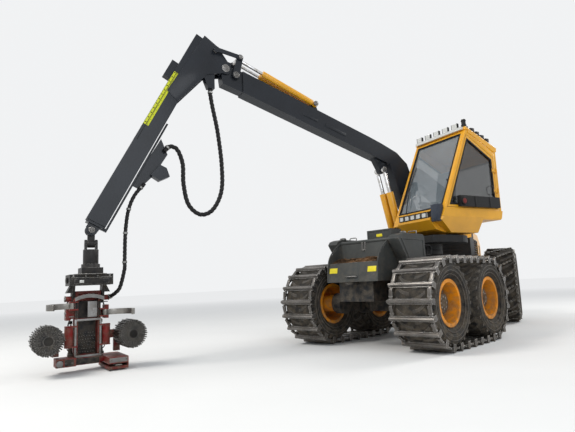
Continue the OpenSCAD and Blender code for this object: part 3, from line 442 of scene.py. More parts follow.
def piece(name, bm, mat, body, at=None, sharp=35):
    """Turns what bm holds into a named object that rides on body, and empties bm."""
    if at is not None:
        bmesh.ops.transform(bm, matrix=at, verts=bm.verts)
    bmesh.ops.recalc_face_normals(bm, faces=bm.faces)
    mesh = bpy.data.meshes.new(name)
    bm.to_mesh(mesh)
    bm.clear()
    mesh.polygons.foreach_set("use_smooth", [True] * len(mesh.polygons))
    mesh.set_sharp_from_angle(angle=radians(sharp))
    obj = bpy.data.objects.new(name, mesh)
    bpy.context.collection.objects.link(obj)
    mesh.materials.append(MATS[mat])
    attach(obj, body)
    return obj


def part(mat, body, at=None, sharp=35):
    """Makes a piece of what the function under it puts in a bmesh; the piece has the function's name."""
    def make(fill):
        bm = bmesh.new()
        fill(bm)
        return piece(fill.__name__, bm, mat, body, at, sharp)
    return make


# Crane hoses, along the same points as in the part's source: distance ahead, height

# The hoses lie to the left of the crane's middle plane, and this is the gap between them
HOSE_GAP = 0.0083
LOOP_HOSE_R, HEAD_HOSE_R = 0.038, 0.03
LOOP_PATH = [(4.12, 4.5697), (4.12, 4.48), (4.085, 4.25), (4.0, 3.8), (3.94, 3.2), (3.96, 2.75),
             (4.12, 2.43), (4.34, 2.34), (4.54, 2.5), (4.62, 2.84), (4.63, 3.18), (4.72, 3.42),
             (4.85, 3.46), (4.935, 3.37)]
HEAD_PATH = [(5.25, 2.81), (5.4, 2.62), (5.49, 2.4), (5.53, 2.15), (5.545, 1.9), (5.55, 1.56)]
# Past the CAD hose the head's hose bends in to the fitting on the tilt pin: offset, ahead, height
HEAD_BEND = [(0.0, 5.552, 1.46), (-0.074, 5.601, 1.202), (-0.159, 5.658, 1.109), (-0.265, 5.728, 1.053)]


def hose_piece(name, path, radius, sides, body):
    """A hose tube that rides on one body."""
    bm = bmesh.new()
    tube(bm, path, radius, sides)
    hose = piece(name, bm, "hose", body, sharp=60)
    return hose


def crane_hose(name, points, radius, node, body, pitch, bend=()):
    """A hose bundle in its spiral guard, carried by the crane in place of the plain CAD hose."""
    side = CRANE_X + HOSE_GAP + radius
    route = [(side, -f, z) for f, z in points] + [(side + x, -f, z) for x, f, z in bend]
    path = smooth_path([M_SUPER @ Vector(p) for p in route], 0.011)

    def guard(run, angle):
        """The radius is full on the spiral strip, 0.62 of each turn, and 0.86 of that beside it."""
        turn = (run / pitch - angle / (2 * pi)) % 1.0
        return radius * (1.0 if turn < 0.62 else 0.86)

    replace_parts(hose_piece(name, path, guard, 12, body), node)
    return path


loop_route = crane_hose("loop_hose_guarded", LOOP_PATH, LOOP_HOSE_R, "loop_hose", "stick_arm", 0.075)
head_route = crane_hose("head_hose_guarded", HEAD_PATH, HEAD_HOSE_R, "head_hose", "stick_inner", 0.06,
                        HEAD_BEND)


def hose_clamps():
    for route, spots, radius, body in ((loop_route, (6, -8), LOOP_HOSE_R, "stick_arm"),
                                       (head_route, (8, 45, 80, 120, -3), HEAD_HOSE_R, "stick_inner")):
        bm = bmesh.new()
        for spot in spots:
            ahead = route[spot + 1] - route[spot - 1]
            r = radius + 0.004
            lathe(bm, [(-0.016, r), (-0.013, r + 0.003), (0.013, r + 0.003), (0.016, r)],
                  turn_to(route[spot], ahead), 20)
        piece("hose_clamps_" + body, bm, "clamp", body)


hose_clamps()


# Crane: scale along the stick, pin caps with their keeper bolts, raised plates on the boom

STICK = M_SUPER @ move(CRANE_X, -STICK_TOP_F, STICK_TOP_Z) @ spin("X", STICK_TILT - pi / 2)
# In STICK, X is across, -Z runs down the stick and -Y is its front face


def stick_scale():
    """Scales with ticks and number fields: a wide one on the front face, a narrow one on the left."""
    front = STICK @ move(0, -0.15, 0)
    left = STICK @ move(0.125, -0.104, 0) @ spin("Z", pi / 2)
    sheet, marks = bmesh.new(), bmesh.new()
    tick_gap, field_gap = 0.0195, 0.0945

    def mark(place, x0, x1, z0, z1):
        box(marks, (x0, -0.0024, z0), (x1, -0.0012, z1), 0.0004, place)

    for place, size in ((front, 1.0), (left, 0.7)):
        box(sheet, (-0.062 * size, -0.0016, -1.9), (0.062 * size, 0.001, -0.8), 0.0006, place)
        mark(place, -0.006, 0.002, -2.2, -0.78)
        for k in range(56):
            wide = 0.05 if k % 10 == 0 else 0.036 if k % 5 == 0 else 0.022
            z = -0.81 - k * tick_gap
            mark(place, 0.0, wide * size, z - 0.003, z + 0.003)
        for k in range(12):
            z = -0.815 - k * field_gap
            mark(place, -0.052 * size, -0.02 * size, z - 0.012, z + 0.004)
    piece("stick_scale", sheet, "scale", "stick_arm")
    piece("stick_scale_marks", marks, "plastic", "stick_arm")


stick_scale()

# Pins of the crane: distance ahead, height, radius, half-length, body
PINS = [(-0.4, 2.4, 0.06, 0.168, "upper"), (0.04, 1.985, 0.038, 0.145, "upper"),
        (0.37, 3.4, 0.034, 0.133, "lift_rod_pair"), (1.98, 4.6, 0.035, 0.135, "boom_arm"),
        (3.85, 4.98, 0.05, 0.133, "stick_arm"), (4.03, 5.28, 0.028, 0.133, "stick_arm"),
        (3.66, 4.88, 0.04, 0.161, "rocker_pair"), (3.58, 5.215, 0.025, 0.199, "rocker_pair"),
        (TIP_F, TIP_Z, 0.032, 0.085, "hanger")]


def pin_caps():
    for i, (f, z, r, half, body) in enumerate(PINS):
        bm = bmesh.new()
        for s in (-1, 1):
            place = M_SUPER @ turn_to(Vector((CRANE_X + s * half, -f, z)), (s, 0, 0))
            lathe(bm, [(-0.004, r * 1.45), (0.007, r * 1.45), (0.01, r * 1.35), (0.01, r * 1.02),
                       (0.016, r * 0.98), (0.018, r * 0.85), (0.018, r * 0.3), (0.013, r * 0.25)], place, 28)
            bolt_ring(bm, place @ move(0, 0, 0.009), r * 1.2, 3, r * 0.15, 0.5)
        piece(f"pin_caps_{i}", bm, "pin_steel", body)


pin_caps()


@part("crane", "boom_arm")
def boom_plates(bm):
    """Low raised plates on the boom's sides, below the stick cylinders' base."""
    rise = 0.3215
    for f, length, deep in ((1.55, 0.5, 0.03), (2.12, 0.34, 0.022)):
        z = 4.11 + (f - 1.55) * rise
        for s in (-1, 1):
            place = M_SUPER @ move(CRANE_X + s * 0.13, -f, z) @ spin("X", -atan(rise))
            box(bm, (-0.007, -length / 2, -deep), (0.007, length / 2, deep), 0.005, place)


# Cab, in M_SUPER: X from the slewing axis to the left, -Y ahead, Z over the ground

CAB_LEFT, CAB_RIGHT = 1.15, -0.15


def front_line(z):
    """Distance ahead of the windscreen's plane at height z."""
    return 0.4 - (z - 2.15) * 0.82 / 1.75


def roof_height(f):
    return 3.96 + (f + 0.415) * 0.36 / 0.83


def side_window(gap, top, back, back_top):
    """A side window's outline: ahead it follows the windscreen, at the back it is upright."""
    return [(front_line(z) - gap, z) for z in (2.42, top)] + [(back, back_top), (back, 2.42)]


DOOR_WINDOW = side_window(0.09, 3.73, -1.072, 3.36)
SIDE_WINDOW = side_window(0.11, 3.69, -1.05, 3.37)


def window_seals():
    """Rubber seals inside the cut-outs, standing a little proud of the panels."""
    slope = Vector((0, -1.75, 0.82)).normalized()
    screen = [(x, -front_line(z), z) for x, z in ((-0.08, 2.38), (1.06, 2.38), (1.06, 3.84), (-0.08, 3.84))]
    rows = [("screen_seal", screen, slope, "upper"),
            ("door_seal", [(CAB_LEFT, -f, z) for f, z in DOOR_WINDOW], (1, 0, 0), "door"),
            ("side_seal", [(CAB_RIGHT, -f, z) for f, z in SIDE_WINDOW], (-1, 0, 0), "upper"),
            ("rear_seal", outline("Y", 1.215, -0.03, 1.03, 2.6, 3.36), BACKWARD, "upper")]
    for name, loop, normal, body in rows:
        bm = bmesh.new()
        strip(bm, loop, normal, 0.03, 0.005)
        strip(bm, loop, [-c for c in normal], 0.024, 0.03)
        piece(name, bm, "seal", body, M_SUPER)


window_seals()


@part("cover", "upper", M_SUPER)
def corner_cover(bm):
    """Cover beside the nose, with a raised face."""
    box(bm, (0.93, -0.452, 2.12), (1.105, -0.3, 2.435), 0.022)
    box(bm, (0.95, -0.46, 2.16), (1.085, -0.44, 2.38), 0.012)


@part("plastic", "upper", M_SUPER)
def nose_bezels(bm):
    """Frames of the nose lamps and the panel behind them."""
    for k in range(5):
        x = 0.1 + k * 0.15
        strip(bm, outline("Y", -0.4505, x - 0.008, x + 0.123, 2.214, 2.318), FORWARD, 0.014, 0.006)
    box(bm, (0.066, -0.409, 2.219), (0.914, -0.4045, 2.316), 0.002)


@part("plastic", "upper", M_SUPER)
def roof_lamp_housings(bm):
    for k in range(5):
        x = -0.05 + k * 0.235
        box(bm, (x - 0.006, 0.358, 3.957), (x + 0.136, 0.401, 4.05), 0.008)
        for side in (x - 0.006, x + 0.13):
            box(bm, (side, 0.346, 3.957), (side + 0.006, 0.362, 4.05), 0.002)


@part("plastic", "upper", M_SUPER)
def roof_side_parts(bm):
    """Housings of the side lamps, and the beacon on its foot."""
    for f in (-0.6, -0.73, -0.86, -0.99):
        top = roof_height(f) + 0.078
        box(bm, (1.072, -f - 0.004, roof_height(f - 0.09) + 0.008), (1.139, -f + 0.094, top), 0.012)
    box(bm, (1.026, 0.421, roof_height(-0.525) + 0.004), (1.134, 0.529, 3.982), 0.012)
    lathe(bm, [(3.978, 0.046), (3.99, 0.05), (4.01, 0.05), (4.016, 0.041), (4.08, 0.041), (4.086, 0.048),
               (4.098, 0.048), (4.104, 0.041), (4.12, 0.039), (4.1235, 0.02)], move(1.08, 0.475, 0), 28)


@part("plastic", "upper", M_SUPER)
def wiper(bm):
    def on_screen(x, z, out):
        return Vector((x, -front_line(z) - out, z))

    hub = turn_to(on_screen(0.16, 2.365, 0.0), (0, -0.9, 0.42))
    lathe(bm, [(0, 0.022), (0.03, 0.022), (0.034, 0.016)], hub, 18)
    pipe(bm, [on_screen(0.16, 2.375, 0.028), on_screen(0.11, 2.62, 0.032), on_screen(0.03, 3.0, 0.022)],
         0.04, 0.009)
    pipe(bm, [on_screen(-0.02, 2.62, 0.006), on_screen(0.02, 3.0, 0.01), on_screen(0.05, 3.38, 0.006)],
         0.05, 0.008, 6)


@part("plastic", "upper", M_SUPER)
def mirror(bm):
    y = -front_line(2.98)
    box(bm, (-0.05, -0.02, -0.09), (0.05, 0.02, 0.09), 0.014, move(0.05, y + 0.1, 2.98) @ spin("Z", 0.5))
    pipe(bm, [(0.05, y + 0.11, 2.95), (0.0, y + 0.12, 2.85), (-0.09, y + 0.14, 2.8)], 0.03, 0.008)


def pillar_trim():
    """Raised edge along both windscreen pillars."""
    for name, x0, x1 in (("pillar_trim_left", 1.084, 1.132), ("pillar_trim_right", -0.132, -0.098)):
        bm = bmesh.new()
        rings = []
        for z in (2.36, 2.38, 3.86, 3.88):
            out = 0.016 if 2.37 < z < 3.87 else 0.001
            y = -front_line(z)
            rings.append([(x0, y + 0.002, z), (x0 + 0.006, y - out, z), (x1 - 0.006, y - out, z),
                          (x1, y + 0.002, z)])
        skin(bm, rings)
        piece(name, bm, "yellow", "upper", M_SUPER)


pillar_trim()


PAD_END = M_SUPER @ turn_to((1.2245, 0.105, 2.482), (1, 0, 0))


@part("seal", "door")
def pad_straps(bm):
    """Rim and straps of the rolled cover."""
    lathe(bm, [(0, 0.074), (0.018, 0.078), (0.028, 0.072), (0.03, 0.06), (0.012, 0.054)], PAD_END, 32)
    for y in (0.42, 0.82):
        box(bm, (1.15, y - 0.022, 2.381), (1.2305, y + 0.022, 2.594), 0.008, M_SUPER)


@part("head_red", "door")
def pad_end_disc(bm):
    """Red disc on the rolled cover's end."""
    lathe(bm, [(0.0225, 0.05), (0.03, 0.046), (0.034, 0.02), (0.03, 0.012)], PAD_END, 28)


@part("plastic", "door", M_SUPER)
def door_handle(bm):
    """Handle and hinge bolts."""
    handle = [(1.152, 0.98, 2.66), (1.195, 0.975, 2.68), (1.2, 0.972, 2.8), (1.152, 0.968, 2.82)]
    pipe(bm, handle, 0.02, 0.011, 10)
    for z in (2.7, 3.1):
        for dz in (0.012, 0.068):
            bolt(bm, turn_to((1.16, 1.072, z + dz), (1, 0, 0)), 0.007)


# Seat: crowned cushions in place of the plain CAD seat

def cushion(name, low, high, crown, place, channels):
    """A crowned pad whose sides pull in between its corners, with sewn channels across it."""
    low, high = Vector(low), Vector(high)
    size, middle = high - low, (high + low) / 2
    bm = bmesh.new()
    nx, ny = 28, 26
    grid = {}
    for side in (-1, 1):
        for i in range(nx + 1):
            for j in range(ny + 1):
                u, v = -1 + 2 * i / nx, -1 + 2 * j / ny
                edge = (1 - abs(u) ** 5) * (1 - abs(v) ** 5)
                puff = max(0.0, edge) ** 0.35
                pull = 1 - 0.03 * (1 - u * u) * abs(v) ** 3
                pull_x = 1 - 0.03 * (1 - v * v) * abs(u) ** 3
                across = (v + 1) / 2
                wave = abs((across * channels) % 1.0 - 0.5)
                groove = 0.18 * max(0.0, 1 - abs(wave - 0.5) * 14) if 0.06 < across < 0.94 else 0.0
                z = side * size.z / 2 * (0.35 + 0.65 * puff - groove) + (crown * puff if side > 0 else 0)
                if edge <= 1e-6:
                    z = side * size.z / 2 * 0.35
                grid[side, i, j] = bm.verts.new(Vector((u * size.x / 2 * pull_x, v * size.y / 2 * pull, z)))
    for side in (-1, 1):
        for i in range(nx):
            for j in range(ny):
                bm.faces.new([grid[side, i, j], grid[side, i + 1, j], grid[side, i + 1, j + 1],
                              grid[side, i, j + 1]])
    rim = border(nx, ny)
    for a, b in zip(rim, rim[1:] + rim[:1]):
        bm.faces.new([grid[-1, *a], grid[-1, *b], grid[1, *b], grid[1, *a]])
    pad = piece(name, bm, "seat", "upper", M_SUPER @ place @ Matrix.Translation(middle), sharp=60)


cushion("seat_squab", (0.205, 0.005, 2.462), (0.695, 0.495, 2.57), 0.012, Matrix(), 4)
back_place = move(0.45, 0.47, 2.56) @ spin("X", radians(78))
cushion("seat_back", (-0.235, 0.0, -0.055), (0.235, 0.69, 0.055), 0.01, back_place, 5)


@part("plastic", "upper", M_SUPER)
def seat_frame(bm):
    """Base, post, and armrests with their levers and brackets."""
    box(bm, (0.255, 0.105, 2.202), (0.645, 0.395, 2.3), 0.02)
    box(bm, (0.3, 0.14, 2.29), (0.6, 0.36, 2.456), 0.03)
    for x in (0.117, 0.697):
        box(bm, (x, 0.055, 2.59), (x + 0.086, 0.425, 2.635), 0.018)
        lathe(bm, [(2.63, 0.02), (2.66, 0.014), (2.72, 0.016), (2.75, 0.024), (2.765, 0.01)],
              move(x + 0.043, 0.09, 0), 16)
    for x0, x1, x2 in ((0.16, 0.165, 0.26), (0.74, 0.735, 0.64)):
        pipe(bm, [(x0, 0.3, 2.6), (x1, 0.34, 2.48), (x2, 0.36, 2.44)], 0.04, 0.016)


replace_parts(seat_frame, "cab_seat")


@part("plastic", "upper", M_SUPER)
def side_console(bm):
    """Console and screen beside the seat."""
    box(bm, (-0.09, -0.012, -0.075), (0.09, 0.012, 0.075), 0.008, move(0.93, 0.02, 2.86) @ spin("Z", -0.5))
    pipe(bm, [(0.93, 0.035, 2.84), (0.99, 0.06, 2.6), (1.0, 0.06, 2.26)], 0.06, 0.015)
    box(bm, (0.86, -0.06, 2.202), (1.09, 0.42, 2.42), 0.02)


# Wheels and tracks, in M_BASE and M_REAR

FRONT_WHEEL_Z, TRACK_X, BOGIE_GAP = 0.731, 1.145, 1.51
TRACK_R, SHOES = 0.6763, 29
TRACK_LEN = 2 * BOGIE_GAP + 2 * pi * TRACK_R
REAR_WHEELS = {"wheel_left": 1, "wheel_right": -1}
REAR_X, REAR_Y, REAR_Z = 1.11, 2.0, 0.875
FRONT_TYRE_R, REAR_TYRE_R = 0.6635, 0.829
CHAIN_SLANT = radians(28)


def front_hub(side, end):
    return M_BASE @ move(side * TRACK_X, end * BOGIE_GAP / 2, FRONT_WHEEL_Z)


def rear_hub(side):
    return M_REAR @ move(side * REAR_X, REAR_Y, REAR_Z)


def loop_at(run):
    """Place on the track's loop: along, up, turn about X."""
    arc = pi * TRACK_R
    if run < BOGIE_GAP:
        return -BOGIE_GAP / 2 + run, TRACK_R, 0.0
    if run < BOGIE_GAP + arc:
        a = (run - BOGIE_GAP) / TRACK_R
        return BOGIE_GAP / 2 + TRACK_R * sin(a), TRACK_R * cos(a), -a
    if run < 2 * BOGIE_GAP + arc:
        return BOGIE_GAP / 2 - (run - BOGIE_GAP - arc), -TRACK_R, pi
    a = (run - 2 * BOGIE_GAP - arc) / TRACK_R
    return -BOGIE_GAP / 2 - TRACK_R * sin(a), -TRACK_R * cos(a), pi - a


def shoe_place(side, k):
    y, z, turn = loop_at(k * TRACK_LEN / SHOES)
    return M_BASE @ move(side * TRACK_X, y, FRONT_WHEEL_Z + z) @ spin("X", turn)


def track_parts():
    """Bolts on the shoes, link pins between them and worn studs along each bar."""
    for label, side in SIDES:
        bolts, links, studs = bmesh.new(), bmesh.new(), bmesh.new()
        for k in range(SHOES):
            place = shoe_place(side, k)
            for x in (-0.3, -0.12, 0.12, 0.3):
                for y in (-0.03589, 0.03589):
                    lathe(bolts, [(0.009, 0.008), (0.017, 0.008), (0.019, 0.006)], place @ move(x, y, 0), 6)
            half = place @ move(0, TRACK_LEN / SHOES / 2, 0)
            hinge = half @ move(0, -0.052, 0) @ spin("Y", pi / 2)
            for s in (-1, 1):
                x = s * 0.32
                box(links, (x - 0.028, -0.066, -0.014), (x + 0.028, 0.066, 0.012), 0.007, half)
                lathe(links, [(x - 0.032, 0.013), (x + 0.032, 0.013)], hinge, 10)
                for x in (s * 0.345, s * 0.225):
                    box(studs, (x - 0.016, -0.022, 0.018), (x + 0.016, 0.022, 0.048), 0.007, place)
        piece(f"track_bolts_{label}", bolts, "pin_steel", "chassis")
        piece(f"track_links_{label}", links, "track", "chassis")
        piece(f"track_studs_{label}", studs, "track", "chassis")


def lug(bm, place, radius, x0, x1, skew, wide, deep, sink):
    """A tread bar from x0 to x1 lying round the tyre, its ends turned by skew."""
    rings = []
    for i in range(5):
        t = i / 4
        x = x0 + (x1 - x0) * t
        foot, top = radius - sink, radius + deep * (0.55 if i in (0, 4) else 1.0)
        ring = []
        for a, r in ((-wide * 0.62, foot), (-wide * 0.42, top), (wide * 0.42, top), (wide * 0.62, foot)):
            angle = skew * t * t + a / radius
            ring.append(place @ Vector((x, r * sin(angle), r * cos(angle))))
        rings.append(ring)
    skin(bm, rings)


def wall_ribs(bm, hub, side, rows, proud, half):
    """Round ribs on a tyre's wall: rows are radius and distance from the tyre's middle."""
    section = ((-0.008, -half), (proud, -0.003), (proud, 0.003), (-0.008, half))
    for r, x in rows:
        skin(bm, [[hub @ Vector((side * (x + dx), (r + dr) * sin(a), (r + dr) * cos(a)))
                   for dx, dr in section] for a in around(48)], closed=True)


def front_treads():
    """Tread bars between the shoes, lower than the track, and ribs on the walls."""
    for label, side in SIDES:
        bm = bmesh.new()
        for end in (-1, 1):
            hub = front_hub(side, end)
            for a in around(24):
                turn = hub @ spin("X", a)
                for s in (-1, 1):
                    lug(bm, turn @ spin("X", 0.13 * (s > 0)), FRONT_TYRE_R, s * 0.03, s * 0.235, 0.16, 0.052,
                        0.0105, 0.006)
                    lug(bm, turn, 0.648, s * 0.262, s * 0.338, 0.05, 0.05, -0.004, 0.03)
            for s in (-1, 1):
                wall_ribs(bm, hub, s, ((0.44, 0.339), (0.5, 0.3535), (0.56, 0.3525)), 0.003, 0.006)
        piece(f"front_treads_{label}", bm, "tread", "chassis")


def rear_treads():
    """Tread bars and the finer links of the chains on the rear wheels."""
    for body, side in REAR_WHEELS.items():
        hub = rear_hub(side)
        bm, net = bmesh.new(), bmesh.new()
        for a in around(26):
            for s in (-1, 1):
                lug(bm, hub @ spin("X", a) @ spin("X", 0.12 * (s > 0)), REAR_TYRE_R, s * 0.02, s * 0.3, 0.2,
                    0.058, 0.024, 0.006)
        for s in (-1, 1):
            wall_ribs(bm, hub, s, ((0.56, 0.336), (0.64, 0.3485), (0.72, 0.347)), 0.004, 0.007)
        piece(f"rear_treads_{body}", bm, "tread", body)
        for s in (-1, 1):
            for k, a in enumerate(around(54)):
                at = hub @ spin("X", a) @ move(s * 0.3115, 0, 0.806)
                chain_link(net, at @ spin("Y", (0.9 if k % 2 else -0.5) * s), 0.045, 0.021, 0.0085)
        for a in around(18):
            turn = hub @ spin("X", a)
            for s in (-1, 1):
                for t in (0.1, 0.35, 0.6, 0.85):
                    x = s * 0.265 * t
                    at = turn @ move(x, tan(CHAIN_SLANT) * x, 0.8705)
                    at = at @ spin("Z", CHAIN_SLANT + (0.5 if t in (0.1, 0.6) else 0))
                    box(net, (-0.028, -0.022, -0.012), (0.028, 0.022, 0.0035), 0.003, at)
        piece(f"chain_links_{body}", net, "link", body)


def chain_link(bm, place, half_length, half_width, thick):
    """An oval link: a round wire round a stadium."""
    rings = []
    for a in around(12):
        shift = (half_length - half_width) * (1 if sin(a) > 0 else -1)
        point = Vector((half_width * cos(a), half_width * sin(a) + shift, 0))
        out = Vector((cos(a), sin(a), 0))
        rings.append([place @ (point + thick * (cos(b) * out + sin(b) * Vector(UP))) for b in around(6)])
    skin(bm, rings, closed=True)


def wheel_faces():
    """Dirty wheel discs and hub drums with their bolt circles; ri is the rim's inner radius."""
    rows = [("chassis", front_hub(s, e), s, 0.338) for s in (-1, 1) for e in (-1, 1)]
    rows += [(body, rear_hub(s), s, 0.433) for body, s in REAR_WHEELS.items()]
    for i, (body, hub, side, ri) in enumerate(rows):
        out = hub @ turn_to((0, 0, 0), (side, 0, 0))
        disc, bolts = bmesh.new(), bmesh.new()
        lathe(disc, [(0.058, ri - 0.0275), (0.0615, ri - 0.0275), (0.0415, ri - 0.06), (0.0555, 0.214),
                     (0.062, 0.212), (0.128, 0.206), (0.136, 0.196), (0.136, 0.168), (0.176, 0.158),
                     (0.19, 0.146), (0.193, 0.128), (0.193, 0.06), (0.187, 0.052), (0.187, 0.02),
                     (0.194, 0.016)], out, 40)
        bolt_ring(bolts, out @ move(0, 0, 0.052), ri - 0.1, 16, 0.011)
        bolt_ring(bolts, out @ move(0, 0, 0.136), 0.182, 18, 0.007)
        bolt_ring(bolts, out @ move(0, 0, 0.193), 0.096, 8, 0.009)
        valve = [(ri - 0.05, 0.02, 0.048), (ri - 0.044, 0.02, 0.085), (ri - 0.034, 0.02, 0.12)]
        pipe(bolts, valve, 0.02, 0.007, at=out)
        piece(f"wheel_disc_{i}", disc, "disc", body)
        piece(f"wheel_bolts_{i}", bolts, "pin_steel", body)


track_parts()
front_treads()
rear_treads()
wheel_faces()


# Bin, tanks, locker and hood

@part("bin", "chassis", M_BASE)
def bin_edges(bm):
    """Rolled edges, front bar and bolts."""
    for s in (-1, 1):
        edge = [(s * 0.516, y, z) for y, z in ((-1.285, 1.13), (-1.2, 1.54), (-0.85, 1.818), (-0.65, 1.818))]
        pipe(bm, edge, 0.06, 0.011)
    pipe(bm, [(-0.5, -1.221, 1.424), (0, -1.221, 1.426), (0.5, -1.221, 1.424)], 0.1, 0.01)
    for x in (-0.44, 0.44, -0.15, 0.15):
        bolt(bm, turn_to((x, -1.262, 1.22), (0, -0.98, 0.2)), 0.013)


@part("sticker", "chassis", M_BASE)
def bin_stickers(bm):
    """Blank yellow plates."""
    for x in (-0.4, 0.4):
        at = move(x, -1.251, 1.31) @ spin("X", -atan2(0.062, 0.31))
        box(bm, (-0.085, -0.0035, -0.045), (0.085, 0.001, 0.045), 0.001, at)
    box(bm, (0.19, -0.7445, 1.865), (0.31, -0.7405, 1.915), 0.001)


@part("pin_steel", "chassis", M_BASE)
def bin_fittings(bm):
    """Handles, catch, filler caps and hinges."""
    handle = [(-0.09, -1.266, 1.19), (-0.09, -1.3, 1.2), (0.09, -1.3, 1.2), (0.09, -1.266, 1.19)]
    pipe(bm, handle, 0.03, 0.011)
    for x in (-0.03, 0.03):
        box(bm, (x - 0.012, -0.882, 1.64), (x + 0.012, -0.862, 1.79), 0.004)
    pipe(bm, [(-0.03, -0.885, 1.66), (0.0, -0.9, 1.65), (0.03, -0.885, 1.66)], 0.02, 0.009)
    for s in (-1, 1):
        tank = s * 0.64
        lathe(bm, [(-0.004, 0.062), (0.022, 0.062), (0.028, 0.054), (0.04, 0.05), (0.044, 0.04)],
              move(tank, -0.62, 1.885), 24)
        grip = [(tank + x, -0.3, z) for x, z in ((-0.07, 1.88), (-0.07, 1.935), (0.07, 1.935), (0.07, 1.88))]
        pipe(bm, grip, 0.02, 0.01)
    pipe(bm, [(0.1, -0.752, 1.7), (0.1, -0.79, 1.7), (0.26, -0.79, 1.7), (0.26, -0.752, 1.7)], 0.02, 0.009)
    for x in (0.06, 0.435):
        lathe(bm, [(0, 0.018), (0.01, 0.018), (0.012, 0.012)], turn_to((x, -0.751, 1.62), FORWARD), 12)


@part("bin", "chassis", M_BASE)
def tank_ribs(bm):
    """Raised ribs on the locker and the tanks, and bolts."""
    strip(bm, outline("X", 0.4955, -0.735, -0.435, 1.52, 1.8), (1, 0, 0), 0.022, 0.006)
    for s in (-1, 1):
        x = s * 0.7405
        loop = [(x, -0.64, 1.24), (x, -0.13, 1.24), (x, -0.13, 1.8), (x, -0.86, 1.8), (x, -0.66, 1.48)]
        strip(bm, loop, (s, 0, 0), 0.024, 0.007)
        for y in (-0.6, -0.38, -0.16):
            bolt(bm, turn_to((x + s * 0.002, y, 1.32), (s, 0, 0)), 0.01)


@part("litter", "chassis", M_BASE, 50)
def bin_litter(bm):
    """Needles, cones and chips on the bin's shelf, rising from the front plate to the back wall."""
    rng = random.Random(11)
    nx, ny = 40, 16

    def surface(u, v):
        uneven = 0.016 * sin(9 * u + 2 * v) + 0.01 * sin(23 * u + 5)
        return -0.505 + 1.01 * u, -1.208 + 0.306 * v, 1.412 + 0.1 * v ** 0.8 + uneven * sin(pi * v)

    grid = {}
    for i in range(nx + 1):
        for j in range(ny + 1):
            x, y, z = surface(i / nx, j / ny)
            grid[i, j] = bm.verts.new((x, y, z + rng.uniform(0, 0.011)))
    for i in range(nx):
        for j in range(ny):
            bm.faces.new((grid[i, j], grid[i + 1, j], grid[i + 1, j + 1], grid[i, j + 1]))
    rim = border(nx, ny)
    foot = [bm.verts.new((grid[k].co.x, min(grid[k].co.y, -0.935), 1.333)) for k in rim]
    for k, key in enumerate(rim):
        after = (k + 1) % len(rim)
        bm.faces.new((grid[key], foot[k], foot[after], grid[rim[after]]))
    bm.faces.new(list(reversed(foot)))
    for _ in range(420):
        x, y, z = surface(rng.uniform(0.03, 0.97), rng.uniform(0.06, 0.92))
        long = rng.uniform(0.012, 0.042)
        turn = spin("Z", rng.uniform(0, pi)) @ spin("Y", rng.uniform(-0.5, 0.5))
        at = move(x, y, z + rng.uniform(0.004, 0.014)) @ turn
        skin(bm, [[at @ Vector((d, w * cos(a), w * sin(a))) for a in (0.3, 2.4, 4.5)]
                  for d, w in ((-long, 0.003), (0, rng.uniform(0.004, 0.01)), (long, 0.002))])


@part("plastic", "hood_lid", M_REAR)
def hood_shield(bm):
    """Black front shield with slats."""
    shield = [(0.557, 1.115), (0.557, 1.962), (1.052, 2.003), (1.2, 2.152), (1.415, 2.152), (1.415, 1.115)]
    for s in (-1, 1):
        skin(bm, [[(s * x, y, z) for y, z in shield] for x in (0.588, 0.5965)])
    box(bm, (-0.59, 0.5515, 1.115), (0.59, 0.561, 1.96), 0.003)
    for k in range(7):
        box(bm, (-0.4, 0.545, 1.3 + 0.075 * k), (0.4, 0.556, 1.335 + 0.075 * k), 0.004)


@part("plastic", "hood_lid", M_REAR)
def hood_trim(bm):
    """Side latches, panel frames and handles."""
    for s in (-1, 1):
        for y in (1.3, 2.5):
            x0, x1 = sorted((s * 0.588, s * 0.598))
            box(bm, (x0, y - 0.028, 1.33), (x1, y + 0.028, 1.42), 0.004)
            knob = turn_to((s * 0.598, y, 1.395), (s, 0, 0))
            lathe(bm, [(0, 0.016), (0.004, 0.016), (0.006, 0.01)], knob, 14)
        strip(bm, outline("X", s * 0.59, 1.43, 2.37, 1.54, 1.98), (s, 0, 0), 0.03, 0.006)
        handle = [(s * x, 2.72, z) for x, z in ((0.586, 1.62), (0.606, 1.64), (0.606, 1.86), (0.586, 1.88))]
        pipe(bm, handle, 0.02, 0.009)
    strip(bm, outline("Y", 3.281, -0.43, 0.43, 1.24, 1.82), BACKWARD, 0.024, 0.006)


@part("tail", "tail", M_REAR)
def tail_lamps(bm):
    for s in (-1, 1):
        x = s * 0.535
        box(bm, (x - 0.075, 3.358, 0.95), (x + 0.075, 3.372, 1.03), 0.005)


@part("frame", "tail", M_REAR)
def tail_fittings(bm):
    """Lamp frames, bolts and a towing pin."""
    for s in (-1, 1):
        x = s * 0.535
        strip(bm, outline("Y", 3.36, x - 0.085, x + 0.085, 0.94, 1.04), BACKWARD, 0.014, 0.016)
        for x in (s * 0.3, s * 0.42):
            bolt(bm, turn_to((x, 3.36, 0.84), BACKWARD), 0.016)
    box(bm, (-0.1, 3.358, 0.8), (0.1, 3.4, 0.9), 0.01)
    lathe(bm, [(-0.06, 0.03), (0.0, 0.036), (0.06, 0.03)], move(0, 3.43, 0.85), 20)


# Head, in M_HEAD: X across, -Y towards the logs, Z up

@part("head_black", "head_body", M_HEAD)
def head_liner(bm):
    """Black liners in the channel."""
    box(bm, (-0.136, 0.2785, 0.236), (0.136, 0.2895, 0.716), 0.003)
    box(bm, (-0.136, 0.2785, 0.756), (0.136, 0.2895, 1.01), 0.003)
    for s in (-1, 1):
        box(bm, (s * 0.159 - 0.018, 0.134, 0.765), (s * 0.159 + 0.018, 0.1395, 1.0), 0.002)


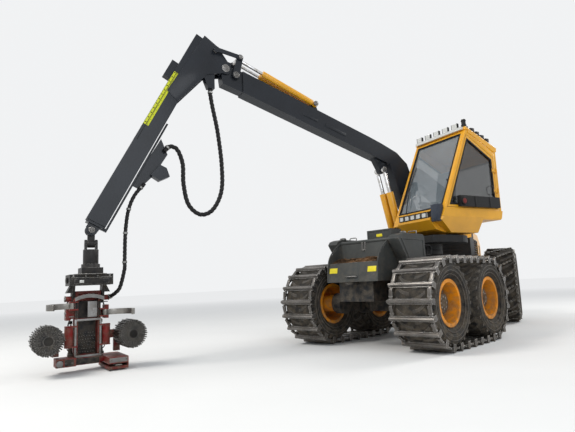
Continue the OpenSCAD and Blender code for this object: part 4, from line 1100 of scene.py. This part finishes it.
@part("silver", "head_body", M_HEAD)
def head_studs(bm):
    """Studs and wear strips in the channel."""
    for i in range(7):
        for j in range(7):
            x = -0.108 + 0.036 * i + (0.009 if j % 2 else -0.009)
            z = 0.262 + 0.046 * j
            stud = turn_to((x, 0.279, z), FORWARD)
            lathe(bm, [(-0.001, 0.0105), (0.01, 0.009), (0.018, 0.0035)], stud, 8)
    for s in (-1, 1):
        box(bm, (s * 0.173 - 0.014, 0.1065, 0.2), (s * 0.173 + 0.014, 0.118, 0.75), 0.004)
    for z in (0.204, 0.722):
        box(bm, (-0.16, 0.1055, z), (0.16, 0.118, z + 0.03), 0.004)


@part("silver", "head_body", M_HEAD)
def head_plate(bm):
    box(bm, (-0.014, 0.094, 0.775), (0.119, 0.1035, 1.003), 0.003)
    box(bm, (0.06, 0.088, 0.83), (0.119, 0.098, 0.9), 0.004)


@part("silver", "head_body", M_HEAD)
def head_arch_wear(bm):
    section = ((0.017, -0.048), (0.017, 0.004), (0.078, 0.004), (0.078, -0.048))
    arch = [(x, 1.108 - (x / 0.225) ** 2 * 0.058) for x in (-0.2 + 0.4 * k / 12 for k in range(13))]
    skin(bm, [[(x, y, z + dz) for y, dz in section] for x, z in arch])


@part("pin_steel", "head_body", M_HEAD)
def head_bolts(bm):
    """Rings of bolts and pin caps."""
    for s in (-1, 1):
        cheek = move(s * 0.298, 0.23, 0.84) @ turn_to((0, 0, 0), (s, 0, 0))
        bolt_ring(bm, cheek, 0.062, 6, 0.01)
        lathe(bm, [(0, 0.04), (0.008, 0.04), (0.01, 0.032)], cheek, 20)
        for z in (0.79, 0.982):
            lathe(bm, [(0, 0.036), (0.01, 0.036), (0.013, 0.026)], turn_to((s * 0.232, 0.09, z), UP), 18)
        pin = turn_to((s * 0.306, 0.22, 1.05), (s, 0, 0))
        lathe(bm, [(-0.004, 0.044), (0.008, 0.044), (0.012, 0.034), (0.012, 0.014), (0.007, 0.012)], pin, 24)
        bolt_ring(bm, pin @ move(0, 0, 0.009), 0.034, 3, 0.005)


@part("head_black", "head_body", M_HEAD)
def head_back(bm):
    """Back cover's slats, bolts and block."""
    for k in range(5):
        z = 0.33 + 0.11 * k
        box(bm, (-0.122, 0.396, z), (0.122, 0.404, z + 0.04), 0.003)
    for x in (-0.105, 0.105):
        for z in (0.32, 0.86):
            bolt(bm, turn_to((x, 0.399, z), BACKWARD), 0.008)
    box(bm, (-0.07, 0.334, 0.905), (0.07, 0.392, 0.985), 0.008)


@part("silver", "head_body", M_HEAD)
def head_discs(bm):
    lathe(bm, [(0, 0.044), (0.01, 0.044), (0.012, 0.038)], turn_to((-0.385, 0.0395, 0.15), FORWARD), 28)
    box(bm, (0.235, -0.2035, 0.115), (0.49, -0.1985, 0.18), 0.004)


@part("head_black", "head_body", M_HEAD)
def head_base_plates(bm):
    """Black plates on the base, and bolts."""
    box(bm, (-0.42, 0.034, 0.104), (-0.34, 0.0405, 0.196), 0.003)
    box(bm, (-0.16, 0.1045, 0.106), (0.16, 0.1105, 0.192), 0.003)
    box(bm, (-0.32, 0.034, 0.11), (-0.2, 0.0405, 0.204), 0.003)
    for x in (-0.3, -0.22, 0.26, 0.47):
        y = 0.034 if x < 0 else -0.2035
        bolt(bm, turn_to((x, y, 0.15), FORWARD), 0.009)


def head_cylinders():
    """Arm cylinders and valve blocks beside the frame, behind the arms."""
    bm, rods = bmesh.new(), bmesh.new()
    for s in (-1, 1):
        at = M_HEAD @ move(s * 0.214, 0.288, 0)
        lathe(bm, [(0.24, 0.02), (0.244, 0.034), (0.268, 0.036), (0.272, 0.029), (0.5, 0.029),
                   (0.504, 0.034), (0.53, 0.034), (0.534, 0.02)], at, 20)
        lathe(rods, [(0.53, 0.014), (0.69, 0.014)], at, 16)
        lathe(bm, [(0.68, 0.024), (0.722, 0.024), (0.726, 0.016)], at, 14)
        low, high = sorted((s * 0.184, s * 0.252))
        box(bm, (low, 0.236, 0.205), (high, 0.322, 0.25), 0.008, M_HEAD)
        box(bm, (low, 0.246, 0.56), (low + 0.03, 0.32, 0.64), 0.006, M_HEAD)
        loop = ((0.236, 0.262, 0.29), (0.262, 0.246, 0.33), (0.264, 0.246, 0.46), (0.236, 0.262, 0.505))
        pipe(bm, [(s * x, y, z) for x, y, z in loop], 0.02, 0.007, at=M_HEAD)
    piece("arm_cylinders", bm, "head_black", "head_body")
    piece("arm_rods", rods, "chrome", "head_body")


head_cylinders()


def head_arms():
    """Rollers' faces, spikes and motors, and the arms' pins; in the head's frame X runs to the right."""
    for label, side in (("left", -1), ("right", 1)):
        face, spikes, motor = bmesh.new(), bmesh.new(), bmesh.new()
        hub = M_HEAD @ turn_to((side * 0.565, -0.215, 0.5), FORWARD)
        lathe(face, [(-0.001, 0.15), (0.004, 0.148), (0.004, 0.088), (0.012, 0.082), (0.014, 0.05),
                     (0.008, 0.046), (0.008, 0.02), (0.012, 0.016)], hub, 36)
        bolt_ring(face, hub @ move(0, 0, 0.004), 0.118, 10, 0.009)
        bolt_ring(face, hub @ move(0, 0, 0.012), 0.066, 8, 0.006)
        for a in around(20, pi / 20):
            spoke = hub @ spin("Z", a)
            box(spikes, (0.132, -0.0095, -0.01), (0.204, 0.0095, 0.013), 0.004, spoke)
            for depth in (0.09, 0.21, 0.32):
                box(spikes, (0.176, -0.007, -depth - 0.03), (0.203, 0.007, -depth + 0.03), 0.005, spoke)
        piece(f"roller_face_{label}", face, "head_black", f"roller_{label}")
        piece(f"roller_spikes_{label}", spikes, "spike", f"roller_{label}")
        back = M_HEAD @ turn_to((side * 0.565, 0.2305, 0.5), BACKWARD)
        lathe(motor, [(-0.001, 0.088), (0.012, 0.088), (0.016, 0.074), (0.06, 0.07), (0.066, 0.06),
                      (0.07, 0.03)], back, 28)
        bolt_ring(motor, back @ move(0, 0, 0.012), 0.078, 8, 0.007)
        for z in (0.372, 0.638):
            pin = M_HEAD @ turn_to((side * 0.258, 0.15, z), (0, 0, 1 if z > 0.5 else -1))
            lathe(motor, [(-0.002, 0.04), (0.008, 0.04), (0.012, 0.03)], pin, 20)
        piece(f"arm_motor_{label}", motor, "head_black", f"roller_arm_{label}")


head_arms()


@part("pin_steel", "turning_head")
def hanger_bolts(bm):
    """Rotator's bolts and ring, the tilt frame's bolts and rail."""
    bolt_ring(bm, M_HEAD @ move(0, 0, 1.4005), 0.205, 10, 0.01)
    lathe(bm, [(1.396, 0.235), (1.404, 0.235), (1.408, 0.228), (1.408, 0.178)], M_HEAD, 36)
    for x in (-0.25, -0.08, 0.08, 0.25):
        bolt(bm, M_HEAD @ turn_to((x, -0.1105, 1.375), FORWARD), 0.008)
    tube(bm, [M_HEAD @ Vector(p) for p in ((-0.28, -0.112, 1.352), (0.28, -0.112, 1.352))], 0.006, 8)


@part("head_black", "turning_head")
def hanger_boxes(bm):
    """Tilt frame's boxes and bosses."""
    box(bm, (-0.286, -0.1185, 1.256), (0.286, -0.1085, 1.338), 0.005, M_HEAD)
    for x in (-0.235, 0.165):
        box(bm, (x, -0.128, 1.266), (x + 0.07, -0.114, 1.328), 0.006, M_HEAD)
    for s in (-1, 1):
        boss = M_HEAD @ turn_to((s * 0.3, 0.08, 1.32), (s, 0, 0))
        lathe(bm, [(-0.002, 0.045), (0.02, 0.045), (0.026, 0.036)], boss, 24)
        box(bm, (s * 0.21 - 0.05, 0.262, 1.25), (s * 0.21 + 0.05, 0.276, 1.36), 0.006, M_HEAD)


@part("lamp", "turning_head")
def hanger_lamp(bm):
    box(bm, (-0.17, -0.1305, 1.276), (-0.11, -0.1175, 1.316), 0.005, M_HEAD)


# Short hoses over the head, from its cap down to the motors and knives: across, back, up
HEAD_HOSES = {
    "cap": [(0.06, 0.348, 0.94), (0.07, 0.366, 1.01), (0.13, 0.385, 1.06), (0.215, 0.382, 1.04),
            (0.265, 0.36, 0.96), (0.272, 0.322, 0.88)],
    "back": [(0.1, 0.405, 0.8), (0.17, 0.42, 0.78), (0.225, 0.405, 0.69), (0.235, 0.38, 0.58),
             (0.225, 0.35, 0.47), (0.19, 0.322, 0.4)],
}


def head_hose(name, path):
    hose_piece(f"hose_{name}", path, 0.01, 10, "head_body")
    bm = bmesh.new()
    for end, other in ((path[0], path[1]), (path[-1], path[-2])):
        lathe(bm, [(-0.004, 0.0155), (0.014, 0.0155), (0.016, 0.013), (0.03, 0.013)],
              turn_to(end, other - end), 6)
    piece(f"hose_ends_{name}", bm, "clamp", "head_body")


def head_hoses():
    for name, points in HEAD_HOSES.items():
        for label, s in SIDES:
            path = smooth_path([M_HEAD @ Vector((s * x, y, z)) for x, y, z in points], 0.018)
            head_hose(f"{name}_{label}", path)


head_hoses()


# Stage

PALE = rgb(0.88, 0.89, 0.9)


def build_stage():
    """A pale floor that fades into the pale world far from the machine."""
    bpy.ops.mesh.primitive_plane_add(size=160, location=(0, 0, GROUND))
    floor = bpy.context.object
    floor.name = "floor"
    s = new_shader("floor")
    near = s.add("BsdfDiffuse", Color=s.mix(s.noise(0.6, 3), rgb(0.74, 0.74, 0.735), rgb(0.78, 0.78, 0.775)))
    far = s.add("Emission", Color=PALE, Strength=0.93)
    reach = s.add("VectorMath", out="Value", props={"operation": "LENGTH"}, i0=s.where)
    fade = s.times(s.ramp(reach, 9.0, 30.0), s.seen_directly())
    floor.data.materials.append(s.show(s.add("MixShader", i0=fade, i1=near, i2=far)))
    world = bpy.data.worlds.new("studio")
    bpy.context.scene.world = world
    s = Shader(world, "OutputWorld")
    seen = s.add("Background", Color=PALE, Strength=1.0)
    light = s.add("Background", Color=rgb(0.92, 0.96, 1.0), Strength=0.6)
    s.show(s.add("MixShader", i0=s.seen_directly(), i1=light, i2=seen))


def area_light(name, place, target, size, power, colour):
    data = bpy.data.lights.new(name, "AREA")
    data.shape = "DISK"
    data.size = size
    data.energy = power
    data.color = colour
    lamp = bpy.data.objects.new(name, data)
    lamp.location = place
    lamp.rotation_euler = (Vector(target) - Vector(place)).to_track_quat("-Z", "Y").to_euler()
    bpy.context.collection.objects.link(lamp)


def build_lights():
    area_light("key", (-5, -11, 12), (0, 0.5, 0.5), 6.0, 1700, (1.0, 0.97, 0.92))
    area_light("fill", (11, -6, 6), (0, 1, 0), 8.0, 420, (0.92, 0.96, 1.0))
    area_light("rim", (6, 14, 10), (0, 1, 1), 6.0, 1200, (1.0, 0.98, 0.95))


# The photograph's camera, read from the wheels and the crane
CAM_PLACE = ZERO + Vector((4.823, -7.687, 1.146))
CAM_YAW, CAM_PITCH, CAM_ROLL = 0.7734, 0.1406, -0.0449
FOCAL_PX = 470.94
FRAME_W = 575


def build_camera():
    level = cos(CAM_PITCH)
    ahead = Vector((-sin(CAM_YAW) * level, cos(CAM_YAW) * level, sin(CAM_PITCH)))
    side = Vector((cos(CAM_YAW), sin(CAM_YAW), 0))
    up = side.cross(ahead)
    right = cos(CAM_ROLL) * side + sin(CAM_ROLL) * up
    top = -sin(CAM_ROLL) * side + cos(CAM_ROLL) * up
    data = bpy.data.cameras.new("camera")
    data.sensor_width = 36.0
    data.lens = FOCAL_PX / FRAME_W * data.sensor_width
    camera = bpy.data.objects.new("camera", data)
    camera.matrix_world = Matrix.Translation(CAM_PLACE) @ Matrix((right, top, -ahead)).transposed().to_4x4()
    bpy.context.collection.objects.link(camera)
    bpy.context.scene.camera = camera


build_stage()
build_lights()
build_camera()
for node_name, node in NODES.items():
    if node_name not in PLAIN_NODES:
        soften(node)

bpy.context.scene.view_settings.view_transform = "Standard"
